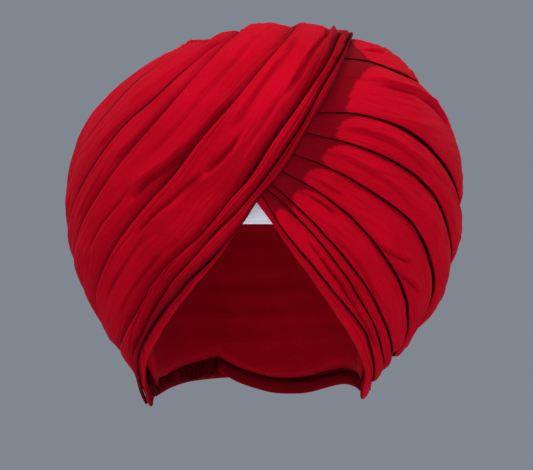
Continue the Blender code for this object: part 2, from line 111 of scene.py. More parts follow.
def direction(azimuth, elevation):
    """Unit vectors from azimuth (0 right, 90 back, 180 left) and elevation in degrees."""
    a = np.radians(azimuth)
    e = np.radians(elevation)
    return np.stack([np.cos(a) * np.cos(e), np.sin(a) * np.cos(e), np.sin(e) + 0 * a], axis=-1)


def smooth_table(values, positions):
    """Catmull-Rom through evenly spaced values."""
    values = np.array(values, float)
    values = np.concatenate([[2 * values[0] - values[1]], values, [values[-2]]])
    position = np.clip(positions, 0, len(values) - 3.000001)
    k = position.astype(int)
    t = position - k
    a, b, c, d = values[k], values[k + 1], values[k + 2], values[k + 3]
    return 0.5 * (2 * b + (c - a) * t + (2 * a - 5 * b + 4 * c - d) * t ** 2
                  + (3 * b - a - 3 * c + d) * t ** 3)


def table_radius(d):
    position = (np.degrees(np.arcsin(np.clip(d[:, 2], -1, 1))) + 90) / ROW_STEP
    level = np.maximum(d[:, 0] ** 2 + d[:, 1] ** 2, 1e-12)
    side = d[:, 0] ** 2 / level
    r = {name: smooth_table(values, position) for name, values in BODY_RADII.items()}
    across = np.where(d[:, 0] < 0, r["left"], r["right"])
    along = np.where(d[:, 1] < 0, r["front"], r["back"])
    return (side * across + (1 - side) * along) * MM


def head_radius(d, grow):
    """Distance from the centre to the head, grown by grow, found by halving."""
    low = np.zeros(len(d))
    high = np.full(len(d), 0.6)
    for _ in range(26):
        middle = 0.5 * (low + high)
        p = BODY_CENTRE + d * middle[:, None]
        below = np.maximum(HEAD_TAPER_START_Z - p[:, 2], 0)
        taper = np.clip(1 - HEAD_TAPER * below, 0.3, 1)
        back_taper = np.where(p[:, 1] > 0, np.clip(1 - HEAD_BACK_TAPER * below, 0.3, 1), taper)
        dome = np.maximum(p[:, 2] - HEAD_DOME_START_Z, 0) / (HEAD_CROWN_Z - HEAD_DOME_START_Z + grow)
        x = p[:, 0] / ((HEAD_HALF_WIDTH + grow) * taper)
        y = p[:, 1] / ((HEAD_HALF_LENGTH + grow) * back_taper)
        inside = x ** 2 + y ** 2 + dome ** 2 < 1
        low = np.where(inside, middle, low)
        high = np.where(inside, high, middle)
    return low


def body_radius(d):
    a = table_radius(d)
    b = head_radius(d, WALL)
    return 0.5 * (a + b + np.sqrt((a - b) ** 2 + WALL_BLEND ** 2))


def body_points(d, height):
    """Points at a height above the wound body, measured along its normal."""
    d = unit(np.asarray(d, float))
    helper = np.where(np.abs(d[:, 2:3]) > 0.9, [[1.0, 0.0, 0.0]], [[0.0, 0.0, 1.0]])
    first = unit(np.cross(helper, d))
    second = np.cross(d, first)
    step = 0.02
    base = BODY_CENTRE + d * body_radius(d)[:, None]
    d1 = unit(d + step * first)
    d2 = unit(d + step * second)
    p1 = BODY_CENTRE + d1 * body_radius(d1)[:, None]
    p2 = BODY_CENTRE + d2 * body_radius(d2)[:, None]
    normal = unit(np.cross(p1 - base, p2 - base))
    return base + normal * np.asarray(height, float)[:, None]


FOLD_HEIGHT_SEEN = 0.005


def seen_from_front(across, up):
    """Direction of the point of the turban that shows at a place in the front view, millimetres."""
    x = np.asarray(across, float) * MM
    z = np.asarray(up, float) * MM
    low = np.zeros(len(x))
    high = np.full(len(x), 0.3)
    for _ in range(30):
        depth = 0.5 * (low + high)
        v = np.stack([x - BODY_CENTRE[0], -depth, z - BODY_CENTRE[2]], axis=1)
        inside = np.linalg.norm(v, axis=1) < body_radius(unit(v)) + FOLD_HEIGHT_SEEN
        low = np.where(inside, depth, low)
        high = np.where(inside, high, depth)
    return unit(np.stack([x - BODY_CENTRE[0], -low, z - BODY_CENTRE[2]], axis=1))


side_radius = float(body_radius(direction(np.array([0.0]), np.array([0.0])))[0])
print("body width", round(2 * side_radius / MM), "mm")

# %% [markdown]
# ## The fold lines
#
# Each crease of the turban is one long line over the body. Where it shows from the front it is
# given in millimetres across and up, and where it runs on round the side and back, as azimuth
# and elevation. The left lines rise from behind the ear, cross the brow and go down the back.
# The right ones fan out from under the front band and go round the nape.

# %% Lay the left lines
# The innermost loop at the back closes on itself, so its two sides meet in one deep crease.
LEFT_LINES = (
    {"name": "band_edge", "start": ((174, -63),),
     "front": ((-78, -90), (-66, -68), (-50, -47), (-30, -26), (-12, -5), (1, 14.5), (12, 30),
               (26, 50), (38, 71), (49, 89), (58, 108), (66, 125.5)),
     "end": ((52, 45), (82, 0), (112, -57))},
    {"name": "second_edge", "start": ((170, -62.5),),
     "front": ((-82.5, -96), (-70, -65), (-58, -45.5), (-39, -23), (-25, -5.5), (-6.5, 14),
               (7, 34.5), (20, 52.5), (31, 69), (44, 92), (53.5, 106.5), (62, 121), (65, 129.5)),
     "end": ((58, 48), (87, 0), (116.5, -57.5))},
    {"name": "panel_edge", "start": ((165, -62),),
     "front": ((-91, -94), (-89.5, -76), (-80.5, -60), (-70, -43.5), (-54, -24.5), (-35, -7),
               (-13.5, 20), (-1, 38.5), (12, 59), (28.5, 81), (44.5, 103), (55.5, 122.5), (59, 132.5)),
     "end": ((63, 52), (92.5, 0), (121.5, -58))},
    {"name": "side_edge", "start": ((157, -61), (166, -52)),
     "front": ((-108, -61.5), (-109.5, -51), (-105, -32.5), (-93.5, -10.5), (-77, 11), (-54, 37.5),
               (-35, 61.5), (-14, 84), (5, 106.5), (19, 122.5), (30.5, 138)),
     "end": ((78, 60), (98.5, 0), (124.5, -58.5))},
    {"name": "layer_edge", "start": ((151, -60), (163, -44), (173, -30)),
     "front": ((-123, -14), (-117, 4), (-107, 21.5), (-91.5, 43.5), (-72, 65.5),
               (-55, 84), (-37, 103.5), (-19, 122.5), (-6.5, 134)),
     "end": ((92, 58), (105, 0), (127.5, -59))},
    {"name": "second_layer_edge", "start": ((147, -60), (159, -40), (170, -20)),
     "front": ((-129, 3.5), (-122, 24), (-107, 48), (-88, 70.5), (-66.5, 88.5),
               (-42.5, 110.5), (-25.5, 123.5), (-17, 127)),
     "end": ((102, 54), (111.5, 0), (130.5, -59))},
    {"name": "third_layer_edge", "start": ((143.5, -59.5), (152, -42), (161, -26), (171, -9)),
     "front": ((-130, 30.5), (-124.5, 47), (-110.5, 67.5), (-93.5, 87), (-71.5, 107), (-52, 116.5),
               (-35, 125)),
     "end": ((118, 50), (119, 0), (133.5, -59))},
    {"name": "back_edge", "start": ((141, -59.5), (148, -36), (157, -8), (167, 22), (171, 40)),
     "end": ((146, 50), (131, 22), (130, -20), (136, -59))},
    {"name": "back_seam", "start": ((138.8, -59.3), (140.7, -36), (143.2, -10), (145.1, 14)),
     "end": ((144.9, 14.5), (144.2, 8), (142.2, -12), (139.7, -36), (138.3, -59.2))},
)

# Heights above the wound body in millimetres: the crest of the strip, and its underside, "lift".
# "sink" is how much lower the underside lies once the strip has passed over the hem, and
# "start_sink" how much lower it lies at its start, by the ear.
# "round" is how softly the free edge rolls over: 2 is a plain ellipse, more is squarer.
LEFT_STRIPS = (
    {"name": "edge_pleat", "crest": 10.4, "lift": 6.3, "sink": 1.7, "open": True, "round": 2.2},
    {"name": "second_pleat", "crest": 9.8, "lift": 3.4, "start_sink": 0.9, "round": 3.2},
    {"name": "front_panel", "crest": 8.6, "lift": 0.65, "round": 4.5},
    {"name": "side_panel", "crest": 7.6, "lift": 0.65, "round": 4.5},
    {"name": "left_layer_one", "crest": 4.9, "lift": 0.6, "round": 3.6},
    {"name": "left_layer_two", "crest": 4.9, "lift": 0.6, "round": 3.4},
    {"name": "left_layer_three", "crest": 4.9, "lift": 0.6, "round": 3.2},
    {"name": "back_layer", "crest": 6.4, "lift": 0.55, "round": 2.4},
)
LEFT_HEM_LINES = (
    {"name": "left_hem_top", "start": ((171.2, -60.6),),
     "front": ((-82.5, -92), (-70, -70), (-53.5, -48), (-32, -27.5), (-13, -5))},
    {"name": "left_hem_edge", "start": ((176.5, -63.6),),
     "front": ((-75.5, -112), (-74, -97), (-66, -80), (-50, -55), (-30, -31), (-9.5, -1))},
)
LEFT_HEM_STRIPS = (
    {"name": "left_hem", "tuck": 9.0, "tuck_most": 1.5, "crest": 6.1, "lift": 2.0, "round": 2.4},
)
print("left lines:", len(LEFT_LINES) + len(LEFT_HEM_LINES))

# %% Lay the right lines
# "lead" is how many millimetres of a line lie hidden under the front band.
RIGHT_LINES = (
    {"name": "crown_edge", "front": ((62, 122), (64.5, 126.5)),
     "end": ((54.5, 46.5), (84, 3), (87, -6))},
    {"name": "top_edge", "lead": 3,
     "front": ((62.5, 115), (80, 112.5), (97.5, 105.5), (110.5, 98.5)),
     "end": ((22, 29), (55, 7), (89.5, -12))},
    {"name": "fold_one_top", "lead": 7,
     "front": ((41.5, 77), (63, 77), (81, 73.5), (97.5, 67.5), (113, 58), (125.5, 45.5), (134, 32.5),
               (139, 16.5)),
     "end": ((16, -8), (45, -18), (93, -20))},
    {"name": "fold_two_top", "lead": 7,
     "front": ((33, 63.5), (58, 58), (78, 51), (97.5, 42), (113, 30.5), (124, 17.5), (131, 0),
               (134, -19)),
     "end": ((16, -27), (45, -35), (96, -28))},
    {"name": "fold_three_top", "lead": 7,
     "front": ((24, 49), (48.5, 40.5), (68, 30.5), (88, 16.5), (106, 2), (117, -16.5), (122, -34.5),
               (120.5, -51), (113, -66)),
     "end": ((14, -43.5), (42, -47), (99.5, -35.5))},
    {"name": "fold_four_top", "lead": 7,
     "front": ((17, 37.5), (38.5, 25.5), (58.5, 10.5), (77.5, -7.5), (90.5, -25.5), (100.5, -43.5),
               (104.5, -62), (102.5, -78), (95.5, -89.5)),
     "end": ((14, -52), (42, -52.5), (102.5, -42))},
    {"name": "pleat_one_top", "lead": 7,
     "front": ((10.5, 27.5), (26, 13), (51.5, -12.5), (66.5, -30.5), (79.5, -49), (88.5, -67),
               (93, -87), (92.5, -94)),
     "end": ((14, -55.5), (42, -55.5), (106, -47))},
    {"name": "pleat_two_top", "lead": 7,
     "front": ((8, 23), (23, 9), (44, -14), (57.5, -31.5), (71.5, -52.5), (82.5, -73), (87, -92)),
     "end": ((14, -58.7), (42, -57.7), (109, -50.5))},
    {"name": "hem_top", "lead": 7,
     "front": ((4.5, 17.5), (16, -1.5), (30, -20.5), (50.5, -46), (64.5, -62), (75.5, -77),
               (80.5, -96.5), (80.5, -106)),
     "end": ((14, -61.5), (42, -59.7), (111, -53.5))},
    {"name": "hem_edge", "lead": 7,
     "front": ((0.5, 13), (10, 0), (25, -23), (45, -51), (63, -78.5), (73, -99), (75, -108), (72, -122)),
     "end": ((14, -64.2), (42, -62), (112, -56.5))},
)
RIGHT_STRIPS = (
    {"name": "right_top", "tuck": 1.5, "crest": 6.5, "round": 2.6},
    {"name": "right_panel", "crest": 8.6, "round": 2.4},
    {"name": "right_fold_one", "crest": 8.2},
    {"name": "right_fold_two", "crest": 8.2},
    {"name": "right_fold_three", "crest": 8.0},
    {"name": "right_fold_four", "crest": 7.6},
    {"name": "right_pleat_one", "crest": 6.6},
    {"name": "right_pleat_two", "crest": 6.0, "round": 2.4},
    {"name": "right_hem", "crest": 5.0, "round": 2.4},
)
print("right lines:", len(RIGHT_LINES))

# %% Turn a line into evenly spaced directions
LINE_WOBBLE = 0.00035
MEAN_RADIUS = 0.13
CURVE_STEPS = 24


def curve_points(row):
    """The given points of a fold line, as directions from the body's centre."""
    parts = []
    if row.get("start"):
        parts.append(np.array([direction(a, e) for a, e in row["start"]]))
    if row.get("front"):
        seen = np.array(row["front"], float)
        parts.append(seen_from_front(seen[:, 0], seen[:, 1]))
    if row.get("end"):
        parts.append(np.array([direction(a, e) for a, e in row["end"]]))
    points = np.concatenate(parts)
    lead = row.get("lead", 0) * MM
    if lead > 0:
        gap = np.linalg.norm(points[1] - points[0]) * body_radius(points[:1])[0]
        points = np.concatenate([[points[0] - (points[1] - points[0]) * lead / gap], points])
    return points


def line_directions(row, stations, wobble=0.0, seed=0):
    """Evenly spaced directions along a smooth curve through one fold line's points."""
    points = curve_points(row)
    padded = np.concatenate([[2 * points[0] - points[1]], points, [2 * points[-1] - points[-2]]])
    fine = []
    for k in range(len(points) - 1):
        p0, p1, p2, p3 = padded[k:k + 4]
        t0, t1, t2 = (max(np.linalg.norm(b - a), 1e-6) ** 0.5 for a, b in ((p0, p1), (p1, p2), (p2, p3)))
        m1 = ((p1 - p0) / t0 - (p2 - p0) / (t0 + t1) + (p2 - p1) / t1) * t1
        m2 = ((p2 - p1) / t1 - (p3 - p1) / (t1 + t2) + (p3 - p2) / t2) * t1
        t = np.linspace(0, 1, CURVE_STEPS, endpoint=False)[:, None]
        fine.append((2 * t ** 3 - 3 * t ** 2 + 1) * p1 + (t ** 3 - 2 * t ** 2 + t) * m1
                    + (3 * t ** 2 - 2 * t ** 3) * p2 + (t ** 3 - t ** 2) * m2)
    fine = unit(np.concatenate(fine + [points[-1:]]))
    steps = np.concatenate([[0], np.cumsum(np.linalg.norm(np.diff(fine, axis=0), axis=1))])
    wanted = np.linspace(0, steps[-1], stations)
    line = unit(np.stack([np.interp(wanted, steps, fine[:, k]) for k in range(3)], axis=1))
    if wobble:
        side = np.cross(line, unit(np.gradient(line, axis=0)))
        line = unit(line + side * (wobble / MEAN_RADIUS * slow_wave(wanted / wanted[-1], seed, 7))[:, None])
    return line


def slow_wave(shares, seed, turns):
    """A gentle irregular wave between about -1 and 1, the same for the same seed."""
    chance = np.random.default_rng(seed)
    wave = np.zeros(len(shares))
    for k in range(1, 5):
        wave += np.sin(2 * np.pi * (turns * k * 0.6 * shares + chance.random())) / (1 + 0.6 * k)
    return wave / 1.6


def ease(values, low, high):
    t = np.clip((values - low) / (high - low), 0, 1)
    return t * t * (3 - 2 * t)


print("first line:", line_directions(LEFT_LINES[0], 5).round(2)[0])

# %% [markdown]
# ## Small folds on the strips
#
# A strip of cloth is never plain. Where it was pulled tight it has long soft ridges, and where
# it was gathered, small pleats run into each other. The ones that can be seen are listed here
# with the piece they lie on. Each is a ridge that rises gently on one side and drops on the
# other, followed by a shallow groove, which is what catches the light and the shade.

# %% List the small folds
# Height and width in millimetres, the steep side, and points in millimetres across and up in the
# front view, in the order of the strip's own direction. The steep side is -1 where the ridge
# drops towards the near line, the one where the strip is tucked in, and 1 towards the far line.
SEEN_FOLDS = {
    "front_panel": (
        (2.3, 5.5, 1, ((-82, -14), (-71, 0.5), (-62, 8.5), (-52, 17), (-42, 27), (-33, 34.5),
          (-23, 42), (-13, 53), (-5, 66))),
        (1.7, 5.0, 1, ((-99, -58), (-96, -46), (-90, -34), (-84, -25), (-77, -16), (-66, -5))),
        (1.3, 4.0, 1, ((-92, -66), (-87, -53), (-80, -42), (-71, -30), (-60, -18))),
        (2.4, 5.0, 1, ((18, 80), (30, 96), (38.5, 110), (45.5, 120), (51, 127), (54, 134.5))),
        (0.8, 6.0, 1, ((-30, 20), (-16, 36), (-2, 54), (12, 74), (22, 90))),
        (1.0, 4.0, -1, ((-20, 64), (-8, 80), (6, 98), (18, 112), (28, 126))),
    ),
    "side_panel": (
        (2.6, 6.0, -1, ((-88, 20), (-75, 33.5), (-62, 43), (-47, 55), (-33, 67.5), (-24, 77), (-12, 90))),
        (1.1, 6.0, 1, ((-112, -22), (-104, -4), (-95, 8), (-84, 21))),
        (0.8, 5.0, -1, ((-78, 46), (-62, 60), (-44, 80), (-28, 97), (-14, 112), (-2, 126))),
    ),
    "left_layer_one": (
        (1.5, 4.0, -1, ((-100, 43), (-86, 56), (-70, 72), (-52, 89), (-34, 107))),
        (0.8, 3.5, 1, ((-122, 2), (-113, 22), (-103, 38))),
    ),
    "left_layer_two": (
        (0.9, 3.5, -1, ((-112, 50), (-98, 66), (-82, 80), (-64, 94))),
        (1.2, 3.0, 1, ((-88, 82), (-72, 95), (-56, 105), (-40, 115))),
    ),
    "left_layer_three": (
        (1.3, 2.5, 1, ((-58, 121), (-49, 124.5), (-38, 127), (-26, 128.5), (-13, 130))),
        (1.0, 2.5, 1, ((-106, 82), (-92, 94), (-78, 104), (-62, 114))),
    ),
    "second_pleat": (
        (2.4, 3.2, 1, ((-84, -96), (-84, -89), (-82.5, -78.5), (-79.5, -69), (-75.5, -61),
          (-70, -52.5), (-62, -41.5), (-54, -31.5), (-47, -21.5), (-41, -13))),
    ),
    "edge_pleat": (
        (0.9, 2.2, 1, ((-38, -31), (-20, -10), (-6, 8), (8, 28), (22, 50), (36, 74))),
    ),
    "right_top": (
        (1.1, 2.6, 1, ((63, 121.5), (72, 121), (80, 119.5), (90, 116))),
    ),
    "right_panel": (
        (1.6, 7.0, 1, ((80, 99), (94, 95), (106, 90), (118, 82), (126, 72), (131, 60))),
        (0.7, 5.0, 1, ((58, 104), (74, 102), (90, 97))),
    ),
    "right_fold_one": (
        (0.8, 5.0, 1, ((52, 70), (72, 66), (92, 58), (108, 47), (120, 33))),
    ),
    "right_fold_two": (
        (0.8, 5.0, 1, ((40, 55), (60, 49), (80, 38), (98, 24), (110, 8))),
    ),
    "right_fold_three": (
        (1.4, 3.0, 1, ((78, -8), (86, -14.5), (95, -20), (106, -25))),
        (1.3, 3.0, 1, ((91, -27), (98, -33), (105, -38.5), (111, -45))),
        (0.8, 3.0, 1, ((34, 37), (48, 29), (60, 21))),
    ),
    "right_fold_four": (
        (1.3, 3.0, 1, ((24, 27), (36, 21), (46, 15), (56, 7))),
        (0.7, 4.0, 1, ((52, -6), (66, -20), (78, -38), (86, -56))),
    ),
    "right_pleat_two": (
        (1.5, 2.4, 1, ((45, -26), (58, -43), (66, -55), (74, -67), (79, -76), (83, -88))),
        (1.4, 2.2, 1, ((34, -10), (42, -22), (51, -35), (60, -46), (68, -58))),
    ),
}

# Folds on the sides and back, which follow their strip: shares of its width at the start and the
# end, shares of its length from and to, height and width in millimetres, and the steep side.
HIDDEN_FOLDS = {
    "edge_pleat": ((0.58, 0.46, -0.6, 1.6, 1.1, 1.7, 1),),
    "second_pleat": ((0.30, 0.44, -0.6, 1.6, 1.3, 2.2, 1), (0.72, 0.66, -0.6, 1.6, 1.1, 1.8, 1)),
    "left_hem": ((0.5, 0.5, -0.6, 1.6, 0.6, 1.6, 1),),
    "right_hem": ((0.52, 0.45, -0.6, 1.6, 0.7, 1.6, 1),),
    "right_pleat_one": ((0.5, 0.5, 0.1, 1.2, 0.7, 2.0, 1),),
    "front_panel": ((0.88, 0.86, -0.6, 1.6, 1.2, 2.4, 1), (0.35, 0.45, 0.60, 0.97, 1.3, 5.0, 1),
                    (0.65, 0.55, 0.50, 0.80, 1.2, 4.0, -1), (0.80, 0.74, 0.66, 0.99, 1.0, 3.5, 1)),
    "side_panel": ((0.40, 0.55, 0.55, 0.95, 1.4, 5.0, -1), (0.70, 0.60, 0.03, 0.20, 1.2, 4.0, 1),
                   (0.25, 0.30, 0.62, 0.90, 0.9, 4.0, 1)),
    "left_layer_one": ((0.45, 0.55, 0.45, 0.85, 1.0, 3.0, 1),),
    "left_layer_two": ((0.50, 0.40, 0.50, 0.90, 1.1, 3.0, 1), (0.6, 0.5, 0.02, 0.22, 0.9, 3.0, -1)),
    "left_layer_three": ((0.50, 0.55, 0.05, 0.40, 1.4, 4.0, 1), (0.30, 0.35, 0.50, 0.95, 1.3, 4.5, -1),
                         (0.72, 0.66, 0.45, 0.80, 1.2, 3.5, 1)),
    "back_layer": ((0.30, 0.35, 0.08, 0.45, 1.4, 4.0, 1), (0.55, 0.60, 0.12, 0.50, 1.2, 4.0, 1),
                   (0.35, 0.30, 0.55, 0.92, 1.4, 4.0, 1), (0.65, 0.60, 0.52, 0.86, 1.1, 4.0, -1)),
    "right_top": ((0.45, 0.50, 0.20, 0.80, 1.3, 4.5, 1), (0.70, 0.75, 0.35, 0.95, 1.0, 3.5, 1)),
    "right_panel": ((0.30, 0.45, 0.45, 0.98, 1.5, 6.0, 1), (0.62, 0.70, 0.50, 0.95, 1.2, 5.0, 1)),
    "right_fold_one": ((0.45, 0.55, 0.45, 0.95, 1.1, 4.5, 1),),
    "right_fold_two": ((0.50, 0.40, 0.45, 0.92, 1.2, 4.5, 1),),
    "right_fold_three": ((0.50, 0.55, 0.50, 0.95, 1.2, 4.0, 1),),
    "right_fold_four": ((0.50, 0.50, 0.50, 0.90, 0.9, 3.5, 1),),
}
print("small folds:", sum(map(len, SEEN_FOLDS.values())) + sum(map(len, HIDDEN_FOLDS.values())))


# %% Shape one small fold
STEEP_SHARE = 0.26
CREST_POWER = 1.4
GROOVE_DEPTH = 0.6
GROOVE_PLACE = 2.1
GROOVE_WIDTH = 1.2
FOLD_STRENGTH = 1.8
FOLD_STATIONS = 90
SEEN_END = 0.16
HIDDEN_END = 0.35
END_REACH = 0.01
CHUNK = 4000


def ridge(distance, width):
    """Height share of a fold at a signed distance: gentle where positive, steep where negative."""
    steep = width * STEEP_SHARE
    side = np.where(distance > 0, width, steep)
    crest = np.exp(-np.abs(distance / side) ** CREST_POWER)
    groove = np.exp(-((distance + GROOVE_PLACE * steep) / (GROOVE_WIDTH * steep)) ** 2)
    return crest - GROOVE_DEPTH * groove


def seen_relief(name, points, across_direction):
    """Height added by the folds that are given in the front view, at points on the body."""
    total = np.zeros(len(points))
    for height, width, steep, given in SEEN_FOLDS.get(name, ()):
        line = line_directions({"front": given}, FOLD_STATIONS)
        line = BODY_CENTRE + line * body_radius(line)[:, None]
        nearest = np.empty(len(points), int)
        for k in range(0, len(points), CHUNK):
            gap = points[k:k + CHUNK, None, :] - line[None, :, :]
            nearest[k:k + CHUNK] = np.argmin((gap ** 2).sum(-1), axis=1)
        tangent = unit(np.gradient(line, axis=0))[nearest]
        offset = points - line[nearest]
        along = (offset * tangent).sum(-1)
        sideways = offset - tangent * along[:, None]
        sign = np.sign((sideways * across_direction).sum(-1))
        distance = -steep * sign * np.linalg.norm(sideways, axis=1)
        share = nearest / (len(line) - 1.0)
        fade = ease(share, 0.0, SEEN_END) * ease(1 - share, 0.0, SEEN_END)
        fade = fade * np.exp(-(along / END_REACH) ** 2)
        total += FOLD_STRENGTH * height * MM * fade * ridge(distance, width * MM)
    return total


def hidden_relief(name, along_share, across_share, width):
    """Height added by the folds that follow the strip out of sight."""
    total = np.zeros(along_share.shape)
    for start, end, low, high, height, fold_width, steep in HIDDEN_FOLDS.get(name, ()):
        t = np.clip((along_share - low) / (high - low), 0, 1)
        distance = -steep * (across_share - (start + (end - start) * t)) * width
        fade = ease(t, 0.0, HIDDEN_END) * ease(1 - t, 0.0, HIDDEN_END)
        total += height * MM * fade * ridge(distance, fold_width * MM)
    return total


print("ridge at its crest:", round(float(ridge(np.array([0.0]), 0.004)[0]), 2))

# %% [markdown]
# ## One padded strip
#
# Seen in section, a strip is like a soft letter D laid flat. It comes out from under its
# neighbour, swells, rolls over at the free edge and runs back underneath. The section is drawn
# once as a ring of shares and heights, and carried along both fold lines, so a narrow pleat and
# a wide panel come from the same few lines of code.

# %% Make the section of a strip
CLEARANCE = 0.0004
TUCK_TOP = 0.0015
RAISED_BOTTOM = 0.0024
TUCK = 0.008
PINCHED_TOP = 0.0028
EDGE_GAP = 0.0003
CREST_SHARE = 0.6
POINT_SPACING = 0.0008
CREST_VARIATION = 0.10
TUCK_STEP = 0.0001
TURN_BACK = 0.06
POINTS_LEAST, POINTS_MOST = 16, 70
POINT_CROWDING = 1.15
SWELL_POWER = 2.4
FREE_FROM, FREE_TO = 0.01, 0.12
EDGE_SHARE, EDGE_POINTS = 0.55, 8
OPEN_LOOSE = 0.4


def superellipse(angle, power):
    """Across and up shares of a rounded edge, from its crest at 0 to its underside at pi."""
    across = np.sin(angle) ** (2 / power)
    up = np.sign(np.cos(angle)) * np.abs(np.cos(angle)) ** (2 / power)
    return across, up


def section(width, tuck_end, lift, crest, raised, tucked, spec):
    """Ring of (share across, height, looseness) columns round one strip, for all its stations."""
    one = np.ones(len(width))
    edge = 1 - EDGE_GAP / width
    ring = []
    middle = 0.5 * (crest + raised)
    half = 0.5 * (crest - raised)
    count = int(np.clip(width.max() / POINT_SPACING, POINTS_LEAST, POINTS_MOST))
    start_height = lift + TUCK_TOP - CLEARANCE + TUCK_STEP
    if spec.get("open"):
        middle = 0.5 * (crest + lift)
        half = 0.5 * (crest - lift)
        for angle in np.linspace(-0.5 * np.pi, 0, 14)[:-1]:
            across, up = superellipse(-angle, spec["round"])
            ring.append((CREST_SHARE * (1 - across) * edge, middle + half * up,
                         OPEN_LOOSE + (1 - OPEN_LOOSE) * abs(math.cos(angle))))
    else:
        ring.append((tuck_end, lift * one, 0.0))
        ring.append((tuck_end, start_height - TUCK_STEP, 0.0))
        ring.append((0.5 * tuck_end, start_height - TUCK_STEP, 0.0))
        for t in np.linspace(0, 1, count)[:-1] ** POINT_CROWDING:
            swell = (1 - (1 - t) ** SWELL_POWER) ** spec["rise"]
            ring.append((CREST_SHARE * t * edge, start_height + (crest - start_height) * swell,
                         float(ease(np.array([t]), FREE_FROM, FREE_TO)[0])))
    for angle in np.linspace(0, 0.5 * np.pi, int(count * EDGE_SHARE) + EDGE_POINTS):
        across, up = superellipse(angle, spec["round"])
        ring.append(((CREST_SHARE + (1 - CREST_SHARE) * across) * edge, middle + half * up,
                     float(np.clip(1.25 * (1 - across ** 6), 0, 1))))
    for angle in np.linspace(0.5 * np.pi, np.pi, 7)[1:-1]:
        across, up = superellipse(angle, spec["round"])
        ring.append(((CREST_SHARE + (1 - CREST_SHARE) * across) * edge, middle + half * up, 0.0))
    if spec.get("open"):
        for angle in np.linspace(0, 0.5 * np.pi, 6)[:-1]:
            across, up = superellipse(angle, spec["round"])
            ring.append((CREST_SHARE * (1 - across) * edge, middle - half * up, 0.0))
    else:
        turn = np.minimum(tucked, CREST_SHARE - 0.02) * edge
        ring.append((turn, raised, 0.0))
        ring.append((turn - TURN_BACK, lift * one, 0.0))
        for share in (0.8, 0.6, 0.4, 0.2):
            ring.append((share * (turn - TURN_BACK), lift * one, 0.0))
    shares = np.stack([v * one for v, _, _ in ring], axis=1)
    heights = np.stack([h * one for _, h, _ in ring], axis=1)
    loose = np.stack([k * one for _, _, k in ring], axis=1)
    return shares, heights, loose


def ring_faces(stations, ring):
    """Quads round a closed tube of rings, and one face at each end."""
    k, j = np.meshgrid(np.arange(stations - 1), np.arange(ring), indexing="ij")
    n = (j + 1) % ring
    quads = np.stack([k * ring + j, k * ring + n, (k + 1) * ring + n, (k + 1) * ring + j], axis=-1)
    faces = [tuple(q) for q in quads.reshape(-1, 4).tolist()]
    faces.append(tuple(range(ring - 1, -1, -1)))
    faces.append(tuple((stations - 1) * ring + j for j in range(ring)))
    return faces


def facing_out(vertices, faces):
    """Turn all faces over if the solid they close has a negative volume."""
    volume = 0.0
    for face in faces:
        a = vertices[face[0]]
        b = vertices[list(face[1:-1])]
        c = vertices[list(face[2:])]
        volume += float((np.cross(b, c) @ a).sum())
    return faces if volume > 0 else [tuple(reversed(face)) for face in faces]


def cloth_object(name, vertices, faces, place, loose, shade):
    """A mesh with the cloth's own coordinates, how free it is to crinkle, and its painted shade."""
    mesh = bpy.data.meshes.new(name)
    mesh.from_pydata(vertices.tolist(), [], facing_out(vertices, faces))
    for title, kind, values in (("cloth_place", "FLOAT_VECTOR", place), ("loose", "FLOAT", loose),
                                ("shade", "FLOAT", shade)):
        layer = mesh.attributes.new(title, kind, "POINT")
        field = "vector" if kind == "FLOAT_VECTOR" else "value"
        layer.data.foreach_set(field, np.asarray(values, np.float32).reshape(-1))
    mesh.polygons.foreach_set("use_smooth", [True] * len(mesh.polygons))
    made = bpy.data.objects.new(name, mesh)
    bpy.context.scene.collection.objects.link(made)
    return made


def line_gap(a, b):
    return np.linalg.norm(b - a, axis=1) * body_radius(unit(a + b))


print("points in a 40 mm section:", int(40 * MM / POINT_SPACING))


# %% Sweep a section along its two lines
THIN_CLOTH = 0.0006
FULL_CLOTH = 0.0026
LEAST_SWELL = 0.0016
WIDTH_SHARE = 0.45
GROOVE_SHADE = 0.0015
PLACE_SHIFT = 0.37
LEAST_FLAT_WIDTH = 0.010
PAST_HEM = (0.22, 0.32)
AT_START = (0.82, 0.92)
EDGE_ROOM = 0.001
HIDDEN_SHADE = 0.3


